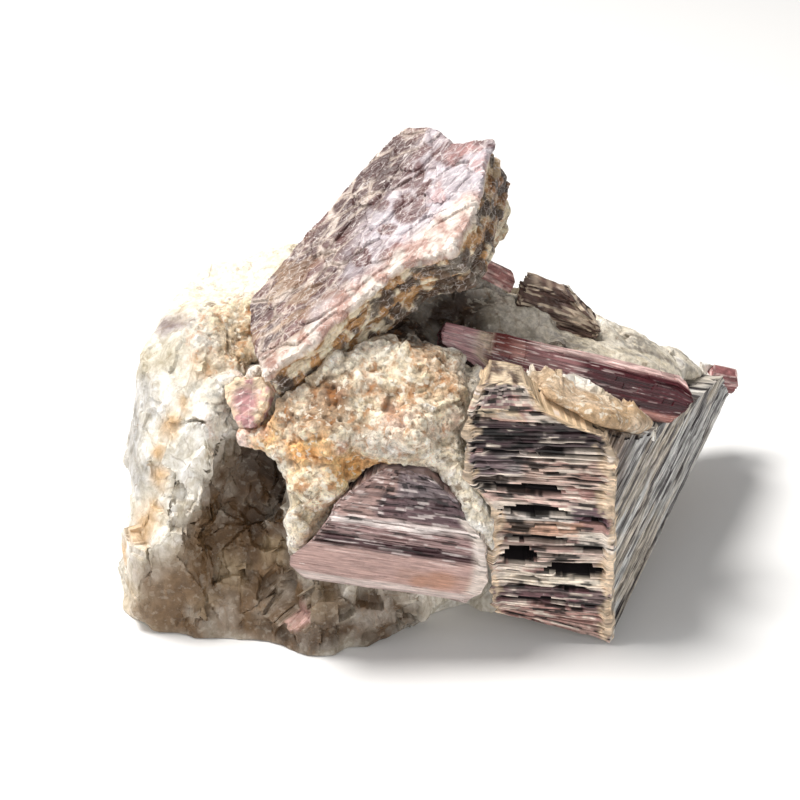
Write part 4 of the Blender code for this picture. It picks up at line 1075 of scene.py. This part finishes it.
def wedge_depth(layer, middle, sides, shares, run):
    depth = 0.16 * line_noise(run, 4.0, 111, layer) + 0.08 * line_noise(run, 0.9, 112, layer)
    upper = ramp(18.6, 20.5, middle)
    depth = depth * (0.45 + 0.9 * upper)
    depth += 0.34 * upper * ramp(0.58, 0.68, line_noise(run, 4.5, 113, layer))
    if 19.3 < middle < 20.3:
        depth = depth + 0.3 * (sides == 0)
    grains = value_noise(columns(run / 0.9, middle / 0.9, sides), 1.0, 114)
    crust = ramp(0.93, 0.97, shares) * (sides == 0) + (sides == 1)
    return depth * (1 - crust) + crust * (0.2 - 0.62 * grains)


def wedge_colours(spots):
    run, height, _ = spots.T
    run = unrolled(run, -15.0)
    pick = streaky(run, height, 7.0, 0.6, 121)
    colours = rgb(156, 130, 126) * (0.4 + 1.1 * pick)[:, None]
    wavy = height + 0.8 * (streaky(run, height, 6.0, 1.2, 122) - 0.5)
    colours = band_colours(colours, run / WEDGE_FRONT, wavy, WEDGE_BANDS, 0.3)
    fine = streaky(run, height, 3.4, 0.24, 123)
    upper = ramp(17.5, 20.0, height)
    colours = colours * (1 + (1.3 * fine - 0.65) * (0.35 + 0.65 * upper))[:, None]
    colours = blend(colours, rgb(222, 210, 206), 0.7 * upper * ramp(0.6, 0.68, fine))
    colours = blend(colours, colours * 0.3, upper * ramp(0.38, 0.3, fine))
    spot = near(columns(run, height, 0.0), WEDGE_SPOTS, 0.5)
    return blend(colours, rgb(176, 116, 74), 0.4 * spot)


def make_wedge():
    levels = uneven_levels(12.6, 28.4, 0.2, 131)
    obj, spots = layered(
        "wedge", WEDGE_OUTLINES, WEDGE_SIDES, levels, wedge_depth, place_wedge, BEVEL, WEDGE_FRONT, 0.12
    )
    set_colour(obj, wedge_colours(spots))
    set_place(obj, spots)
    return obj


# Lath: along its length, through its depth, and up its face

LATH_LEFT = np.array((1.0, -4.5, 36.6))
LATH_RIGHT = np.array((33.2, -6.2, 28.2))
LATH_ALONG = unit(LATH_RIGHT - LATH_LEFT)
LATH_BACK = unit(np.cross(LATH_ALONG, (0.0, -0.62, -1.0)))
LATH_UP = np.cross(LATH_ALONG, LATH_BACK)
LATH_OUTLINES = (
    (0, ((5, 0.3), (31.6, 0.2), (31, 4.2), (5, 4.2))),
    (0.3, ((0.4, 0.1), (33, 0), (32.2, 4.8), (0.4, 4.6))),
    (0.7, ((0, 0), (33.8, 0), (32.6, 5), (0, 4.8))),
    (1, ((0.4, 0.3), (32.2, 0.4), (31.6, 4.4), (0.6, 4.2))),
)
LATH_SIDES = (230, 36, 100, 30)
LATH_FRONT = 33.0
LATH_HEIGHT = 6.2
LATH_JOINT = 5.8
LATH_BANDS = (
    (0, 0.16, 0, 1, (204, 166, 168), 0.75),
    (0.14, 0.19, 0, 1, (224, 206, 190), 0.8),
    (0.2, 0.34, 0.55, 0.95, (190, 142, 132), 0.75),
    (0.2, 0.62, 0, 0.55, (124, 74, 78), 0.8),
    (0.34, 0.62, 0.45, 0.9, (156, 116, 116), 0.7),
    (0.55, 1.05, 0.12, 0.84, (66, 19, 27), 0.97),
    (0.2, 0.28, 0.55, 1.1, (118, 48, 42), 0.85),
    (0.36, 1.05, 0.86, 1.1, (216, 186, 180), 0.85),
    (0.45, 1.05, -0.1, 0.14, (172, 124, 112), 0.8),
)


def place_lath(along, back, share):
    low = np.interp(along, (0, 5, 7, 21, 31, 34), (-1.6, -2.1, -2.9, -3.4, -3.2, -2.2))
    high = np.interp(along, (0, 5, 7, 21, 31, 34), (2.2, 2.3, 2.5, 3.0, 3.0, 1.4))
    up = low + (high - low) * share
    base = LATH_LEFT + along[:, None] * LATH_ALONG + back[:, None] * LATH_BACK
    return base + up[:, None] * LATH_UP


def lath_depth(layer, middle, sides, shares, run):
    depth = 0.16 * line_noise(run, 6.0, 141, layer) + 0.07 * line_noise(run, 1.0, 142, layer)
    depth += 0.22 * (line_noise(run, 5.0, 143, np.floor(middle * 9)) > 0.62)
    joint = np.exp(-(((run - LATH_JOINT) / 0.7) ** 2)) * (sides == 0)
    raised = (run > 6.6) & (run < 11.0) & (middle > 0.5) & (sides == 0)
    return depth + 0.6 * joint + 0.2 * (1 - raised)


def lath_colours(spots):
    run, share, _ = spots.T
    run = unrolled(run, 1.0)
    height = share * LATH_HEIGHT
    colours = rgb(116, 58, 64) * (0.5 + streaky(run, height, 8.0, 0.5, 151))[:, None]
    wavy = share + 0.14 * (streaky(run, height, 6.0, 1.0, 152) - 0.5)
    colours = band_colours(colours, run / LATH_FRONT, wavy, LATH_BANDS, 0.05)
    fine = streaky(run, height, 3.6, 0.22, 153)
    colours = colours * (0.4 + 1.2 * fine)[:, None]
    pale = ramp(0.62, 0.7, fine) * (0.2 + 0.6 * ramp(26.0, 14.0, run))
    colours = blend(colours, rgb(222, 204, 200), pale)
    joint = ramp(0.4, 0.55, fractal(spots * (1, 6, 0), 1.2, 155))
    joint = joint * ramp(1.3, 0.5, np.abs(run - LATH_JOINT))
    return blend(colours, rgb(226, 208, 188), 0.8 * joint)


def make_lath():
    levels = uneven_levels(0.0, 1.0, 0.026, 161)
    obj, spots = layered(
        "lath", LATH_OUTLINES, LATH_SIDES, levels, lath_depth, place_lath, 0.003, LATH_FRONT, 0.014
    )
    set_colour(obj, lath_colours(spots))
    set_place(obj, spots * (1.0, LATH_HEIGHT, 1.0))
    return obj


# Small crystals

BACK_BOOK_OUTLINES = (
    (0, ((10.8, 5.6), (22, 7.4), (22, 13), (12, 12.5))),
    (3, ((11.2, 6.2), (23, 8), (22.4, 12.6), (12.4, 12.4))),
    (5.4, ((11.8, 7.8), (19, 9.2), (18.4, 12.4), (12.8, 12.2))),
)
BACK_BOOK_LEFT = 12.0
BACK_BOOK_LEVEL = 32.6
BACK_BOOK_DIP = 0.42
BACK_LATH_OUTLINES = (
    (0, ((0, -1), (6.2, -1), (6.2, 1.2), (0, 1.2))),
    (1.6, ((0.3, -0.8), (6, -0.7), (6, 1), (0.4, 1))),
    (2.4, ((1.2, -0.4), (5.2, -0.3), (5.2, 0.6), (1.2, 0.6))),
)
BACK_LATH_START = np.array((5.4, 7.2, 40.0))
BACK_LATH_ALONG = unit((0.72, 0.2, -0.5))
PRISM_OUTLINES = (
    (0, ((0, -1.4), (4.4, -1), (4.6, 1.6), (0.2, 1.6))),
    (1.6, ((0.2, -1.5), (4.8, -1), (4.9, 1.5), (0.3, 1.7))),
    (3, ((0.6, -1), (4.2, -0.7), (4.2, 1.2), (0.8, 1.2))),
)
PRISM_START = np.array((39.3, 26.2, 12.6))
PRISM_UP = unit((0.25, -0.2, 1.0))
ROSETTE_SEAT = (-22.5, -12.6, 32.0)
ROSETTE_OUT = unit((-0.35, -0.8, 0.45))
ROSETTE_MIDDLE = (-23.0, -13.4, 32.6)


def place_back_book(x, y, height):
    return columns(x, y, BACK_BOOK_LEVEL + height - BACK_BOOK_DIP * (x - BACK_BOOK_LEFT))


def axes_place(start, along, up):
    side = unit(np.cross(up, along))
    rise = np.cross(along, side)

    def place(run, back, height):
        return start + run[:, None] * along + back[:, None] * side + height[:, None] * rise

    return place


def small_depth(size):
    def depth(layer, middle, sides, shares, run):
        return size * line_noise(run, 2.4, 171, layer) + size * 0.4 * line_noise(run, 0.6, 172, layer)

    return depth


def striped(obj, spots, dark, light, seed):
    run, height, _ = spots.T
    pick = ramp(0.48, 0.68, streaky(run, height, 4.0, 0.22, seed))[:, None]
    set_colour(obj, dark * (1 - pick) + light * pick)
    set_place(obj, spots)


def make_back_book():
    levels = uneven_levels(0.0, 5.4, 0.24, 181)
    depth = small_depth(0.9)
    obj, spots = layered(
        "back_book", BACK_BOOK_OUTLINES, (90, 40, 80, 40), levels, depth, place_back_book, BEVEL, 11.0, 0.3
    )
    striped(obj, spots, rgb(96, 74, 66), rgb(206, 188, 166), 182)
    return obj


def make_back_lath():
    levels = uneven_levels(0.0, 2.4, 0.2, 191)
    place = axes_place(BACK_LATH_START, BACK_LATH_ALONG, np.array((0.0, 0.0, 1.0)))
    depth = small_depth(0.12)
    obj, spots = layered(
        "small_back_lath", BACK_LATH_OUTLINES, (60, 24, 60, 24), levels, depth, place, BEVEL, 6.0, 0.1
    )
    striped(obj, spots, rgb(150, 104, 100), rgb(214, 180, 172), 192)
    return obj


def make_prism():
    levels = uneven_levels(0.0, 3.0, 0.2, 201)
    across = unit(np.cross((0.0, 1.0, 0.0), PRISM_UP))
    place = axes_place(PRISM_START, across, PRISM_UP)
    depth = small_depth(0.16)
    obj, spots = layered("far_prism", PRISM_OUTLINES, (50, 30, 50, 30), levels, depth, place, BEVEL, 4.6, 0.1)
    striped(obj, spots, rgb(140, 92, 92), rgb(216, 184, 180), 202)
    return obj


def make_rosette():
    obj = fine_copy("pink_rosette", "rosette", ROSETTE_VOXEL)
    points = points_of(obj)
    outs = outs_of(obj)
    proud = (points - ROSETTE_SEAT) @ ROSETTE_OUT
    points = points - ROSETTE_OUT * (0.68 * np.maximum(proud, 0.0))[:, None]
    nearest, second, number, _ = cells(points, 1.1, 211)
    height = 0.25 * number + 0.15 * (fractal(points, 0.8, 212) - 0.5)
    set_points(obj, points + outs * height[:, None])
    shade = (0.75 + 0.5 * number)[:, None]
    colours = rgb(178, 132, 132) * shade
    pale = ramp(0.12, 0.02, second - nearest)
    colours = blend(colours, rgb(226, 208, 202), 0.5 * pale)
    rim = ramp(1.2, 2.6, np.linalg.norm(points - ROSETTE_MIDDLE, axis=1))
    rim *= ramp(0.36, 0.5, fractal(points, 1.6, 213))
    set_colour(obj, blend(colours, rgb(222, 200, 170), 0.9 * rim))
    set_place(obj, points * (0.5, 0.5, 1.0))
    return obj


# Floor, light and camera


def make_floor():
    bpy.ops.mesh.primitive_plane_add(size=3.0)
    floor = bpy.context.object
    floor.name = "floor"
    material = bpy.data.materials.new("floor")
    material.use_nodes = True
    shader = material.node_tree.nodes["Principled BSDF"]
    shader.inputs["Base Color"].default_value = (0.86, 0.86, 0.86, 1.0)
    shader.inputs["Roughness"].default_value = 0.8
    floor.data.materials.append(material)
    floor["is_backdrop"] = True


def area_light(name, place, target, size, power, colour):
    data = bpy.data.lights.new(name, "AREA")
    data.shape = "DISK"
    data.size = size
    data.energy = power
    data.color = colour
    obj = bpy.data.objects.new(name, data)
    bpy.context.scene.collection.objects.link(obj)
    obj.location = place
    obj.rotation_euler = (Vector(target) - Vector(place)).to_track_quat("-Z", "Y").to_euler()


def make_camera():
    target = (np.array(CAMERA_TARGET) - ORIGIN) * MM
    back = np.array((0.0, np.cos(CAMERA_ELEVATION), -np.sin(CAMERA_ELEVATION))) * CAMERA_DISTANCE * MM
    data = bpy.data.cameras.new("camera")
    data.lens = LENS_MM
    data.sensor_width = 36.0
    data.clip_start = 0.01
    obj = bpy.data.objects.new("camera", data)
    bpy.context.scene.collection.objects.link(obj)
    obj.location = target - back
    obj.rotation_euler = Vector(back).to_track_quat("-Z", "Y").to_euler()
    bpy.context.scene.camera = obj


def make_light():
    middle = (0.0, 0.0, 0.02)
    area_light("key", (-0.2, 0.04, 0.48), middle, 0.22, 3.5, (1.0, 0.975, 0.94))
    area_light("front fill", (0.16, -0.6, 0.3), middle, 0.5, 1.3, (1.0, 0.985, 0.965))
    area_light("left fill", (-0.55, -0.25, 0.25), middle, 0.4, 0.7, (0.96, 0.98, 1.0))
    world = bpy.data.worlds.new("studio")
    bpy.context.scene.world = world
    world.use_nodes = True
    background = world.node_tree.nodes["Background"]
    background.inputs["Color"].default_value = (1.0, 1.0, 1.0, 1.0)
    background.inputs["Strength"].default_value = 0.27


bpy.context.scene.view_settings.view_transform = "Standard"

finish_piece(make_matrix(), "quartz_matrix", matrix_material())
finish_piece(make_plate(), "lepidolite_plate", plate_material())
finish_piece(make_book(), "lepidolite_book", mica_material("layered_mica", slots=1.0))
mauve = mica_material("mauve_mica", (0.2, 2.6, 0.3), 0.36, flecks=0.68, contrast=0.2)
finish_piece(make_wedge(), "lepidolite_wedge", mauve)
burgundy = mica_material("burgundy_mica", (0.2, 2.8, 0.3), 0.3, contrast=0.32)
finish_piece(make_lath(), "lepidolite_lath", burgundy)
finish_piece(make_back_book(), "back_mica_book", mica_material("dark_mica"))
pink = mica_material("pink_mica", (0.4, 2.4, 0.3), 0.38)
finish_piece(make_back_lath(), "back_lath", pink)
finish_piece(make_rosette(), "pink_rosette", pink)
finish_piece(make_prism(), "corner_prism", pink)

make_floor()
make_light()
make_camera()

rows = [[list(corner) for corner in pair] for pair in (bounds_at_load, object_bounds())]
